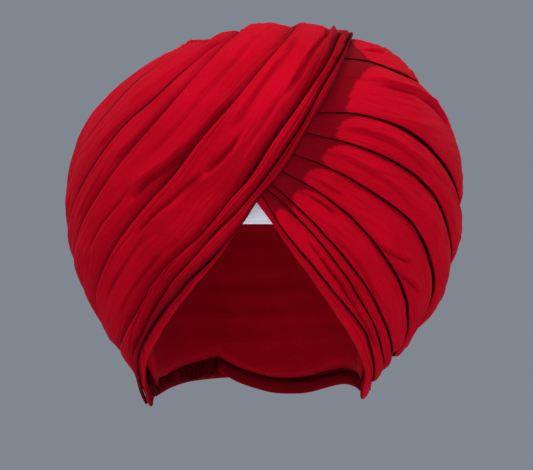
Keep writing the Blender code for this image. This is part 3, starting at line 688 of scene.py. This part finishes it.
def strip(spec, before, near, far, has_next, press, swell, seed):
    """A padded strip of cloth from the line near, where it is tucked in, to the rolled edge at far."""
    stations = len(near)
    along_share = np.linspace(0, 1, stations)
    width = line_gap(near, far)
    sunk = spec.get("sink", 0.0) * ease(along_share, *PAST_HEM)
    sunk = sunk + spec.get("start_sink", 0.0) * ease(1 - along_share, *AT_START)
    lift = (spec["lift"] - sunk) * MM
    crest = np.minimum(spec["crest"] * MM, lift + LEAST_SWELL + WIDTH_SHARE * width)
    if spec["lift"] < 1:
        crest = PINCHED_TOP + (crest - PINCHED_TOP) * swell
    crest = crest + (crest - lift) * CREST_VARIATION * slow_wave(along_share, seed, 5)
    raised = np.maximum(RAISED_BOTTOM if has_next else CLEARANCE, lift)
    next_tuck = np.minimum(TUCK, WIDTH_SHARE * width) if has_next else np.full(stations, EDGE_ROOM)
    tucked = np.clip(1 - (next_tuck + EDGE_ROOM) / width, 0.3, 0.9)
    if before is None:
        most = spec.get("tuck_most", WIDTH_SHARE)
        tuck_end = -np.minimum(spec.get("tuck", 8.0) * MM, most * width) / width
    else:
        behind_width = line_gap(before, near)
        tuck_end = -np.minimum(TUCK, WIDTH_SHARE * behind_width) / behind_width
    shares, heights, loose = section(width, tuck_end, lift, crest, raised, tucked, spec)
    ring = shares.shape[1]
    v = shares[:, :, None]
    on_strip = near[:, None] + (far - near)[:, None] * v
    if before is not None:
        on_tuck = near[:, None] + (near - before)[:, None] * v
        on_strip = np.where(v < 0, on_tuck, on_strip)
    on_strip = unit(on_strip).reshape(-1, 3)
    base = BODY_CENTRE + on_strip * body_radius(on_strip)[:, None]
    across_direction = np.repeat(unit(far - near), ring, axis=0)
    relief = seen_relief(spec["name"], base, across_direction).reshape(stations, ring)
    relief += hidden_relief(spec["name"], along_share[:, None] * np.ones(ring), shares, width[:, None])
    thick = heights - raised[:, None]
    loose = loose * ease(thick, THIN_CLOTH, FULL_CLOTH)
    heights = heights + relief * loose
    heights = lift[:, None] + (heights - lift[:, None]) * press[:, None]
    vertices = body_points(on_strip, heights.reshape(-1))
    middle = BODY_CENTRE + unit(near + far) * body_radius(unit(near + far))[:, None]
    along = np.concatenate([[0], np.cumsum(np.linalg.norm(np.diff(middle, axis=0), axis=1))])
    place = np.stack([along[:, None] * np.ones(ring), shares * width[:, None],
                      np.full((stations, ring), seed * PLACE_SHIFT)], axis=-1).reshape(-1, 3)
    # Painted shade: the colour darkens towards each crease, on cloth that is turned under, and in the
    # grooves of the small folds.
    inside = np.minimum(shares, 1.0) * width[:, None]
    shade = 1 - np.exp(-np.maximum(inside, 0) / (spec["dark"] * MM))
    shade = shade * np.where(loose > 0, 1, HIDDEN_SHADE)
    shade = shade * (1 - 0.5 * np.clip(-relief / GROOVE_SHADE, 0, 1))
    made = cloth_object(spec["name"] + "_cloth", vertices, ring_faces(stations, ring), place,
                        loose.reshape(-1), shade.reshape(-1))
    areas = np.zeros(len(made.data.polygons))
    made.data.polygons.foreach_get("area", areas)
    flat_width = max(round(float(areas.sum() / 2 / along[-1]), 3), LEAST_FLAT_WIDTH)
    return made, (flat_width, round(float(along[-1]), 3))


def family(lines, strips, stations, press, swell, seed, manner):
    """All strips between the neighbouring lines of one table, with their flat sizes."""
    paths = [line_directions(row, stations, LINE_WOBBLE, seed + k) for k, row in enumerate(lines)]
    made = {}
    for k, row in enumerate(strips):
        spec = {**manner, **row}
        before = paths[k - 1] if k else None
        last = k == len(strips) - 1
        made[spec["name"]] = strip(spec, before, paths[k], paths[k + 1], not last, press, swell, seed + k)
    return paths, made


# How a strip comes out of its crease: "rise" near 0.5 is full at once, near 1 is slow. "dark" is how
# many millimetres out of the crease the shade reaches. On the left the cloth is drawn flat and slow.
LEFT_MANNER = {"rise": 0.85, "dark": 4.0}
RIGHT_MANNER = {"rise": 0.55, "dark": 1.6, "lift": 0.4, "round": 2.2}
LEFT_STATIONS = 210
RIGHT_STATIONS = 150
HEM_STATIONS = 80
LEFT_SEED, RIGHT_SEED, HEM_SEED = 10, 40, 70

# The left strips are pressed flat at both ends, and the right ones swell between theirs.
station = np.linspace(0, 1, LEFT_STATIONS)
left_press = 0.5 + 0.5 * ease(station, 0.03, 0.16) * ease(1 - station, 0.05, 0.22)
_, left_pieces = family(LEFT_LINES, LEFT_STRIPS, LEFT_STATIONS, left_press, np.ones(LEFT_STATIONS),
                        LEFT_SEED, LEFT_MANNER)
station = np.linspace(0, 1, RIGHT_STATIONS)
right_swell = ease(station, 0.05, 0.22) * ease(1 - station, 0.09, 0.26)
right_paths, right_pieces = family(RIGHT_LINES, RIGHT_STRIPS, RIGHT_STATIONS, np.ones(RIGHT_STATIONS),
                                   right_swell, RIGHT_SEED, RIGHT_MANNER)
hem_paths, hem_pieces = family(LEFT_HEM_LINES, LEFT_HEM_STRIPS, HEM_STATIONS, np.ones(HEM_STATIONS),
                               np.ones(HEM_STATIONS), HEM_SEED, LEFT_MANNER)
strips = {**left_pieces, **right_pieces, **hem_pieces}
for name, (made, flat) in strips.items():
    print(f"{name}: {flat[0] * 1000:.0f} x {flat[1] * 1000:.0f} mm, {len(made.data.polygons)} faces")

# %% [markdown]
# ## The nape piece
#
# At the back, below the ear, the end of the cloth is laid flat over the ends of all the folds
# and pushed up under the turban. It is the only place where the winding is closed off. It is a
# short strip with its own table, thin and slightly crowned.

# %% Lay the nape piece over the ends
NAPE_THICKNESS = 0.0024
NAPE_STATIONS = 90
NAPE_PLEAT = 0.0009
NAPE_FLAT = (0.026, 0.088)
NAPE = {
    "azimuth": (163, 152, 140, 128, 116, 105),
    "low": (-62.0, -61.5, -60.0, -58.5, -57.0, -56.0),
    "high": (-58.5, -52, -46, -44, -46, -51),
    "under": (6.6, 6.6, 6.6, 7.0, 9.8, 10.2),
}


def nape_piece():
    position = np.linspace(0, len(NAPE["azimuth"]) - 1.000001, NAPE_STATIONS)
    azimuth, low, high, under = (smooth_table(values, position) for values in NAPE.values())
    along = np.linspace(0, 1, NAPE_STATIONS)
    top = np.linspace(0, np.pi, 40)
    ring = []
    for angle in top:
        share = 0.5 - 0.5 * np.sign(math.cos(angle)) * abs(math.cos(angle)) ** 0.8
        ring.append((share, NAPE_THICKNESS * (0.15 + 1.0 * math.sin(angle) ** 0.5)))
    for share in (0.97, 0.8, 0.6, 0.4, 0.2, 0.03):
        ring.append((share, 0.0))
    count = len(top)
    vertices, place, loose, shade = [], [], [], []
    for k, (share, height) in enumerate(ring):
        pleat = NAPE_PLEAT * math.sin(share * 5 * np.pi) ** 2 if 0 < k < count - 1 else 0.0
        d = direction(azimuth, low + (high - low) * share)
        vertices.append(body_points(d, under * MM + height + pleat * ease(along, 0, 0.2)))
        place.append(np.stack([np.linspace(0, 0.08, NAPE_STATIONS), np.full(NAPE_STATIONS, share * 0.02),
                               np.full(NAPE_STATIONS, 3.3)], axis=1))
        free = float(np.sin(math.pi * min(k / (count - 1), 1))) if k < count else 0.0
        loose.append(np.full(NAPE_STATIONS, free * 0.6))
        # Painted shade: the nape piece is darker towards both edges and all along its underside.
        shade.append(np.full(NAPE_STATIONS, 0.4 + 0.6 * free))
    stacked = [np.stack(part, axis=1) for part in (vertices, place, loose, shade)]
    return cloth_object("nape_wrap_cloth", stacked[0].reshape(-1, 3), ring_faces(NAPE_STATIONS, len(ring)),
                        stacked[1].reshape(-1, 3), stacked[2].reshape(-1), stacked[3].reshape(-1))


nape = nape_piece()
strips["nape_wrap"] = (nape, NAPE_FLAT)
print("nape faces:", len(nape.data.polygons))

# %% [markdown]
# ## The first turns
#
# Under everything are the first turns of the cloth, wound tight round the head and the knot of
# hair. Only their inside shows, in the opening, as shallow slanting turns laid over each other.
# They are made as three thick rings one above another, the last one closed at the crown.

# %% Wind the first turns
TURNS = (
    {"name": "lower_wrap", "from": 0.0, "to": 0.34},
    {"name": "middle_wrap", "from": 0.34, "to": 0.66},
    {"name": "crown_wrap", "from": 0.66, "to": 1.0},
)
TURN_GAP_DEGREES = 0.3
INNER_INSET = 0.0014
RIM_INSET = 0.0022
TURN_AROUND = 180
TURN_ROWS = 34
TURN_PITCH = 0.013
TURN_RELIEF = 0.0014
HEM_HIDDEN_STATIONS = 14
RIM_RAISE, RIM_RAISE_IN_FRONT = 3.0, 6.0


def rim_elevation(azimuths, right_edge, left_edge):
    """Elevation of the lower edge of the cloth at any azimuth."""
    known = []
    for path in (right_edge, left_edge):
        known += [(np.degrees(np.arctan2(p[1], p[0])) % 360, np.degrees(np.arcsin(p[2]))) for p in path]
    known += list(zip(NAPE["azimuth"][:-2], NAPE["low"][:-2]))
    known = np.array(sorted(known))
    return np.interp(azimuths, known[:, 0], known[:, 1], period=360)


def wound_steps(azimuth, along):
    """How far the inside of the turns stands back, as slanting laps one over another."""
    lap = along / TURN_PITCH + azimuth / 360.0 + 0.25 * np.sin(np.radians(azimuth * 2 + 40))
    t = lap - np.floor(lap)
    return TURN_RELIEF * ease(t, 0.0, 0.85) * ease(1 - t, 0.0, 0.12)


def first_turn(turn, azimuth, rim):
    crown = turn["to"] >= 1
    low = rim + (90 - rim) * turn["from"]
    high = rim + (90 - rim) * turn["to"] - (0.0 if crown else TURN_GAP_DEGREES)
    n = TURN_AROUND
    skins = []
    for outside in (True, False):
        for row in range(TURN_ROWS if crown else TURN_ROWS + 1):
            t = row / TURN_ROWS
            elevation = low + (high - low) * t
            d = direction(azimuth, elevation)
            if outside:
                near_rim = np.clip(1 - 3 * (elevation - rim) / (90 - rim), 0, 1)
                skins.append(body_points(d, -INNER_INSET - RIM_INSET * near_rim))
            else:
                up = np.radians(elevation) * 0.1
                steps = wound_steps(azimuth, up) * min(1.0, 8 * t, 8 * (1 - t) + (1 if crown else 0))
                skins.append(BODY_CENTRE + d * (head_radius(d, HOLLOW_CLEARANCE) + steps)[:, None])
        if crown:
            pole = direction(np.array([0.0]), np.array([90.0]))
            skins.append(body_points(pole, np.array([-INNER_INSET])) if outside
                         else BODY_CENTRE + pole * head_radius(pole, HOLLOW_CLEARANCE)[:, None])
    vertices = np.concatenate(skins)
    faces = []
    start = 0
    ends = []
    for turned in (False, True):
        last = start + TURN_ROWS * n
        for r in range(TURN_ROWS):
            for k in range(n):
                m = (k + 1) % n
                a, b = start + r * n + k, start + r * n + m
                if crown and r == TURN_ROWS - 1:
                    face = (a, b, last)
                else:
                    face = (a, b, start + (r + 1) * n + m, start + (r + 1) * n + k)
                faces.append(tuple(reversed(face)) if turned else face)
        ends.append((start, last))
        start = last + (1 if crown else n)
    for k in range(n):
        m = (k + 1) % n
        faces.append((ends[0][0] + m, ends[0][0] + k, ends[1][0] + k, ends[1][0] + m))
        if not crown:
            faces.append((ends[0][1] + k, ends[0][1] + m, ends[1][1] + m, ends[1][1] + k))
    d = unit(vertices - BODY_CENTRE)
    around = np.arctan2(d[:, 1], d[:, 0]) * 0.09
    place = np.stack([around, np.arcsin(d[:, 2]) * 0.1, np.full(len(d), 5.1)], axis=1)
    is_inside = np.arange(len(vertices)) >= ends[1][0]
    # Painted shade: the first turns are darkened evenly all over.
    return cloth_object(turn["name"] + "_winding", vertices, faces, place, 0.5 * is_inside,
                        np.full(len(vertices), 0.7))


turn_azimuth = np.arange(TURN_AROUND) * 360.0 / TURN_AROUND
turn_rim = rim_elevation(turn_azimuth, right_paths[-1][HEM_HIDDEN_STATIONS:], hem_paths[-1])
turn_rim = turn_rim + RIM_RAISE + RIM_RAISE_IN_FRONT * np.clip(-np.sin(np.radians(turn_azimuth)), 0, 1)
first_turns = [first_turn(turn, turn_azimuth, turn_rim) for turn in TURNS]
print("first turns:", [len(made.data.polygons) for made in first_turns])

# %% [markdown]
# ## The brow band
#
# Under the turban the wearer ties a plain white band, so that the cotton doesn't slip. Only a
# small triangle of it shows, where the two sides of the turban cross. It is a flat band of
# double cotton, about 2 mm thick, with a turned hem along both edges.

# %% Make the brow band
BAND_THICKNESS = 0.002
BAND_HEIGHT = 0.016
BAND_CLEARANCE = 0.0012
BAND_AROUND = 240
BAND_ACROSS = 33
BAND_RADIUS = 0.088
HEM_INSET = 0.0022
HEM_GROOVE = 0.16


def band_section():
    """Ring of (height, thickness share) pairs: two faces with a hem groove and round edges."""
    outer = []
    for t in np.linspace(0, 1, BAND_ACROSS):
        z = BAND_HEIGHT * (0.5 - 0.5 * math.cos(math.pi * t))
        edge = min(z, BAND_HEIGHT - z)
        groove = HEM_GROOVE * math.exp(-((edge - HEM_INSET) / 0.0005) ** 2)
        outer.append((z, min(1.0, 0.5 + edge / 0.0012) - groove))
    return outer


def brow_band():
    ring = band_section()
    ring = ring + [(z, 0.5 - share * 0.5) for z, share in reversed(ring)][1:-1]
    angle = np.arange(BAND_AROUND) * 2 * np.pi / BAND_AROUND
    rows = []
    for z, share in ring:
        dome_rise = max(z - HEAD_DOME_START_Z, 0) / (HEAD_CROWN_Z - HEAD_DOME_START_Z)
        dome = math.sqrt(1 - dome_rise ** 2)
        inset = BAND_CLEARANCE + BAND_THICKNESS * (1 - share)
        ripple = 0.00012 * np.sin(9 * angle + 1.0) * (1 if share > 0.5 else 0.4)
        x = (HEAD_HALF_WIDTH * dome - inset + ripple) * np.cos(angle)
        y = (HEAD_HALF_LENGTH * dome - inset + ripple) * np.sin(angle)
        rows.append(np.stack([x, y, np.full(BAND_AROUND, z)], axis=1))
    vertices = np.concatenate(rows)
    n = BAND_AROUND
    faces = []
    for r in range(len(ring)):
        s = (r + 1) % len(ring)
        for k in range(n):
            m = (k + 1) % n
            faces.append((r * n + k, r * n + m, s * n + m, s * n + k))
    place = np.stack([np.tile(angle * BAND_RADIUS, len(ring)), vertices[:, 2],
                      np.full(len(vertices), 7.7)], axis=1)
    return cloth_object("brow_band", vertices, faces, place, np.full(len(vertices), 0.2),
                        np.ones(len(vertices)))


band = brow_band()
print("band faces:", len(band.data.polygons))

# %% [markdown]
# ## Crinkles by Geometry Nodes
#
# Thin cotton that has been pulled and folded keeps fine crinkles that run along the pull.
# They follow the strip, so they are made by one node tree for every piece: noise that is
# stretched along the cloth's own coordinates moves each point along its normal. A second,
# sharper noise cuts thin grooves. Cloth that is tucked in or turned under stays as it is.

# %% Build the crinkle tree
def add(tree, kind, links=None, **settings):
    """Add a node with its settings; links give a value or an output for each of its inputs."""
    node = tree.nodes.new(kind)
    for key, value in settings.items():
        setattr(node, key, value)
    for key, value in (links or {}).items():
        if isinstance(value, bpy.types.NodeSocket):
            tree.links.new(value, node.inputs[key])
        else:
            node.inputs[key].default_value = value
    return node


CRINKLE_INPUTS = (
    ("Wave Height", "NodeSocketFloat", 0.0008), ("Wave Width", "NodeSocketFloat", 0.010),
    ("Wave Length", "NodeSocketFloat", 0.075), ("Crinkle Height", "NodeSocketFloat", 0.0004),
    ("Crinkle Width", "NodeSocketFloat", 0.0034), ("Crinkle Length", "NodeSocketFloat", 0.034),
    ("Groove Depth", "NodeSocketFloat", 0.0005), ("Slant", "NodeSocketFloat", 0.05),
    ("Seed", "NodeSocketFloat", 1.0),
)
VEIN_WIDTH = 2.2
VEIN_HALF = 0.035


def crinkle_tree():
    tree = bpy.data.node_groups.new("cloth_crinkle", "GeometryNodeTree")
    tree.interface.new_socket("Geometry", in_out="INPUT", socket_type="NodeSocketGeometry")
    for title, kind, value in CRINKLE_INPUTS:
        socket = tree.interface.new_socket(title, in_out="INPUT", socket_type=kind)
        socket.default_value = value
    tree.interface.new_socket("Material", in_out="INPUT", socket_type="NodeSocketMaterial")
    tree.interface.new_socket("Geometry", in_out="OUTPUT", socket_type="NodeSocketGeometry")
    given = add(tree, "NodeGroupInput").outputs
    place = add(tree, "GeometryNodeInputNamedAttribute", {"Name": "cloth_place"}, data_type="FLOAT_VECTOR")
    loose = add(tree, "GeometryNodeInputNamedAttribute", {"Name": "loose"}, data_type="FLOAT")
    parts = add(tree, "ShaderNodeSeparateXYZ", {0: place.outputs[0]}).outputs

    def maths(operation, a, b):
        return add(tree, "ShaderNodeMath", {0: a, 1: b}, operation=operation).outputs[0]

    across = maths("ADD", parts[1], maths("MULTIPLY", parts[0], given["Slant"]))

    def stretched_noise(length, width, shift, detail):
        where = add(tree, "ShaderNodeCombineXYZ", {
            0: maths("DIVIDE", parts[0], length),
            1: maths("DIVIDE", across, width),
            2: maths("ADD", maths("ADD", parts[2], given["Seed"]), shift)})
        noise = add(tree, "ShaderNodeTexNoise", {
            "Vector": where.outputs[0], "Scale": 1.0, "Detail": detail, "Roughness": 0.5,
            "Distortion": 0.25})
        return noise.outputs[0]

    wave = stretched_noise(given["Wave Length"], given["Wave Width"], 0.0, 1.0)
    wave = maths("SUBTRACT", wave, 0.5)
    fine = stretched_noise(given["Crinkle Length"], given["Crinkle Width"], 11.0, 2.0)
    fine = maths("SUBTRACT", fine, 0.5)
    vein_width = maths("MULTIPLY", given["Crinkle Width"], VEIN_WIDTH)
    vein = stretched_noise(given["Wave Length"], vein_width, 23.0, 1.0)
    vein = maths("ABSOLUTE", maths("SUBTRACT", vein, 0.5), 0.0)
    groove = add(tree, "ShaderNodeMapRange", {
        "Value": vein, "From Min": 0.0, "From Max": VEIN_HALF, "To Min": 1.0, "To Max": 0.0},
        interpolation_type="SMOOTHSTEP").outputs[0]
    height = maths("ADD", maths("MULTIPLY", wave, maths("MULTIPLY", given["Wave Height"], 2.0)),
                   maths("MULTIPLY", fine, maths("MULTIPLY", given["Crinkle Height"], 2.0)))
    height = maths("SUBTRACT", height, maths("MULTIPLY", groove, given["Groove Depth"]))
    height = maths("MULTIPLY", height, loose.outputs[0])
    normal = add(tree, "GeometryNodeInputNormal")
    offset = add(tree, "ShaderNodeVectorMath", {0: normal.outputs[0], "Scale": height}, operation="SCALE")
    moved = add(tree, "GeometryNodeSetPosition", {
        "Geometry": given["Geometry"], "Offset": offset.outputs[0]})
    real = add(tree, "GeometryNodeRealizeInstances", {"Geometry": moved.outputs[0]})
    dressed = add(tree, "GeometryNodeSetMaterial", {
        "Geometry": real.outputs[0], "Material": given["Material"]})
    add(tree, "NodeGroupOutput", {0: dressed.outputs[0]})
    return tree


crinkles = crinkle_tree()
print("crinkle tree:", len(crinkles.nodes), "nodes")

# %% [markdown]
# ## The red cotton
#
# The cloth is cotton voile, dyed a deep red and woven from thin yarns, usually 0.2 mm apart.
# It has no gloss: light slides over it softly, a little more at grazing angles, where the loose
# fibres glow. Yarns are uneven, so the colour has fine streaks along the weave. They are too
# fine to show at this size, and are drawn at about 0.8 mm. Down in a crease the colour is
# darkened as painted shade.

# %% Make the two cottons
def linear(code):
    """Linear colour from an sRGB hex code."""
    values = [int(code[k:k + 2], 16) / 255 for k in (1, 3, 5)]
    return tuple(v / 12.92 if v <= 0.04045 else ((v + 0.055) / 1.055) ** 2.4 for v in values) + (1.0,)


def cotton(name, painted_shade_colour, plain, bright, yarn, bump, roughness, sheen, sheen_tint):
    """Woven cotton with uneven yarns both ways, a soft tone over the piece, and painted shade where the
    shade attribute asks for it.
    """
    material = bpy.data.materials.new(name)
    material.use_nodes = True
    tree = material.node_tree
    shader = tree.nodes["Principled BSDF"]
    place = add(tree, "ShaderNodeAttribute", attribute_name="cloth_place").outputs["Vector"]
    shade = add(tree, "ShaderNodeAttribute", attribute_name="shade").outputs["Fac"]
    solid_place = add(tree, "ShaderNodeTexCoord").outputs["Object"]

    def yarn_noise(along, across):
        where = add(tree, "ShaderNodeVectorMath", {0: place, 1: (1 / along, 1 / across, 1.0)},
                    operation="MULTIPLY").outputs[0]
        return add(tree, "ShaderNodeTexNoise", {"Vector": where, "Scale": 1.0, "Detail": 2.0}).outputs[0]

    warp = yarn_noise(yarn * 22, yarn)
    weft = yarn_noise(yarn, yarn * 14)
    calm_weft = add(tree, "ShaderNodeMapRange", {
        "Value": weft, "From Min": 0.0, "From Max": 1.0, "To Min": 0.25, "To Max": 0.75}).outputs[0]
    slub = add(tree, "ShaderNodeMath", {0: warp, 1: calm_weft}, operation="ADD").outputs[0]
    tone = add(tree, "ShaderNodeTexNoise", {"Vector": solid_place, "Scale": 28.0, "Detail": 2.0}).outputs[0]
    level = add(tree, "ShaderNodeMath", {0: slub, 1: tone}, operation="ADD").outputs[0]
    level = add(tree, "ShaderNodeMapRange", {"Value": level, "From Min": 1.1, "From Max": 1.9}).outputs[0]
    dyed = add(tree, "ShaderNodeMix", {0: level, 6: linear(plain), 7: linear(bright)},
               data_type="RGBA").outputs[2]
    # Painted shade: the colour is mixed towards the dark shade colour where the shade attribute is low.
    with_painted_shade = add(tree, "ShaderNodeMix", {0: shade, 6: linear(painted_shade_colour), 7: dyed},
                   data_type="RGBA").outputs[2]
    tree.links.new(with_painted_shade, shader.inputs["Base Color"])
    dull = add(tree, "ShaderNodeMapRange", {
        "Value": slub, "From Min": 0.6, "From Max": 1.4,
        "To Min": roughness - 0.05, "To Max": roughness + 0.05}).outputs[0]
    tree.links.new(dull, shader.inputs["Roughness"])
    relief = add(tree, "ShaderNodeBump", {"Height": slub, "Strength": 0.6, "Distance": bump}).outputs[0]
    tree.links.new(relief, shader.inputs["Normal"])
    shader.inputs["Specular IOR Level"].default_value = 0.05
    shader.inputs["Sheen Weight"].default_value = sheen
    shader.inputs["Sheen Roughness"].default_value = 0.45
    shader.inputs["Sheen Tint"].default_value = linear(sheen_tint)
    return material


# The first colour given to each cotton is its painted shade colour, for creases and turned-under cloth.
red_voile = cotton("red_cotton_voile", "#52000A", "#BA0019", "#D40224", 0.0008, 0.0004, 0.85, 0.02,
                   "#E0203A")
white_cotton = cotton("white_cotton_band", "#D8D8E4", "#F6F6FC", "#FFFFFF", 0.0006, 0.00015, 0.82, 0.1,
                      "#FFFFFF")
# A faint glow brings the band nearer to its brightness in the photograph.
white_shader = white_cotton.node_tree.nodes["Principled BSDF"]
white_shader.inputs["Emission Color"].default_value = linear("#E6E8FF")
white_shader.inputs["Emission Strength"].default_value = 0.25
print("materials:", red_voile.name, white_cotton.name)


# %% Crinkle every piece
def crinkle(made, material, **values):
    """Run the tree on one piece and keep the result as a plain mesh."""
    modifier = made.modifiers.new("crinkle", "NODES")
    modifier.node_group = crinkles
    wanted = {title: value for title, _, value in CRINKLE_INPUTS}
    wanted.update(values)
    wanted["Material"] = material
    for item in crinkles.interface.items_tree:
        if item.in_out == "INPUT" and item.name in wanted:
            modifier[item.identifier] = wanted[item.name]
    graph = bpy.context.evaluated_depsgraph_get()
    mesh = bpy.data.meshes.new_from_object(made.evaluated_get(graph))
    made.modifiers.remove(modifier)
    old = made.data
    made.data = mesh
    bpy.data.meshes.remove(old)
    mesh.name = made.name


NARROW = {"edge_pleat", "second_pleat", "right_pleat_one", "right_pleat_two", "right_hem", "left_hem",
          "nape_wrap"}
for k, (name, (made, _)) in enumerate(strips.items()):
    calm = 0.5 if name in NARROW else 1.0
    crinkle(made, red_voile, **{"Seed": 1.0 + k, "Wave Height": 0.0012 * calm,
                                "Crinkle Height": 0.0006 * (0.4 + 0.6 * calm),
                                "Groove Depth": 0.0006 * (0.4 + 0.6 * calm),
                                "Slant": 0.06 if k % 2 else -0.05})
for made in first_turns:
    crinkle(made, red_voile, **{"Seed": 60.0})
crinkle(band, white_cotton, **{"Seed": 80.0, "Wave Height": 0.0002, "Groove Depth": 0.0})
print("crinkled:", len(strips) + len(first_turns) + 1, "pieces")

# %% [markdown]
# ## Put the pieces in place
#
# Every piece hangs from the root and stands in the place of the plain solid of the same name,
# which is hidden.

# %% Hand the pieces to the frame
for name, (made, flat) in strips.items():
    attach(made, "root")
    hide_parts(name)
for turn, made in zip(TURNS, first_turns):
    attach(made, "root")
    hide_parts(turn["name"])
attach(band, "root")
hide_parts("under_band")

# %% [markdown]
# ## The stage
#
# A plain pale floor lies well below, like the top of a table, and the room is the same cool
# grey as in the photograph. The main light is a soft window high on the left. Weaker ones
# stand on the right in front, low in front, above, and on both sides behind.

# %% Lay the floor and set the lights
FLOOR_Z = -0.29
FLOOR_RADIUS = 4.5


def stage_floor():
    mesh = bpy.data.meshes.new("floor")
    count = 96
    angles = [2 * math.pi * k / count for k in range(count)]
    ring = [(FLOOR_RADIUS * math.cos(a), FLOOR_RADIUS * math.sin(a), FLOOR_Z) for a in angles]
    mesh.from_pydata(ring, [], [tuple(range(count))])
    made = bpy.data.objects.new("floor", mesh)
    bpy.context.scene.collection.objects.link(made)
    material = bpy.data.materials.new("pale_floor")
    material.use_nodes = True
    shader = material.node_tree.nodes["Principled BSDF"]
    shader.inputs["Base Color"].default_value = linear("#C9CDD3")
    shader.inputs["Roughness"].default_value = 0.9
    mesh.materials.append(material)


def window(name, place, size, power, colour="#FFFFFF"):
    """A square soft light that faces the turban."""
    data = bpy.data.lights.new(name, "AREA")
    data.shape = "SQUARE"
    data.size = size
    data.energy = power
    data.color = linear(colour)[:3]
    made = bpy.data.objects.new(name, data)
    made.location = place
    made.rotation_mode = "QUATERNION"
    made.rotation_quaternion = (Vector((0, 0, 0.02)) - Vector(place)).to_track_quat("-Z", "Y")
    bpy.context.scene.collection.objects.link(made)


stage_floor()
window("key", (-1.0, -1.1, 2.6), 1.0, 37)
window("second", (1.5, -2.1, 1.7), 1.4, 26)
window("fill", (-0.4, -2.9, -0.2), 1.4, 21)
window("above", (0.3, -0.2, 2.6), 1.3, 12)
window("back_left", (-2.0, 2.2, 1.2), 1.6, 14)
window("back_right", (2.0, 2.0, 1.2), 1.6, 14)

world = bpy.data.worlds.new("studio")
bpy.context.scene.world = world
world.use_nodes = True
background = world.node_tree.nodes["Background"]
background.inputs["Color"].default_value = linear("#808791")
background.inputs["Strength"].default_value = 1.0
bpy.context.scene.view_settings.view_transform = "Standard"
bpy.context.scene.view_settings.look = "None"
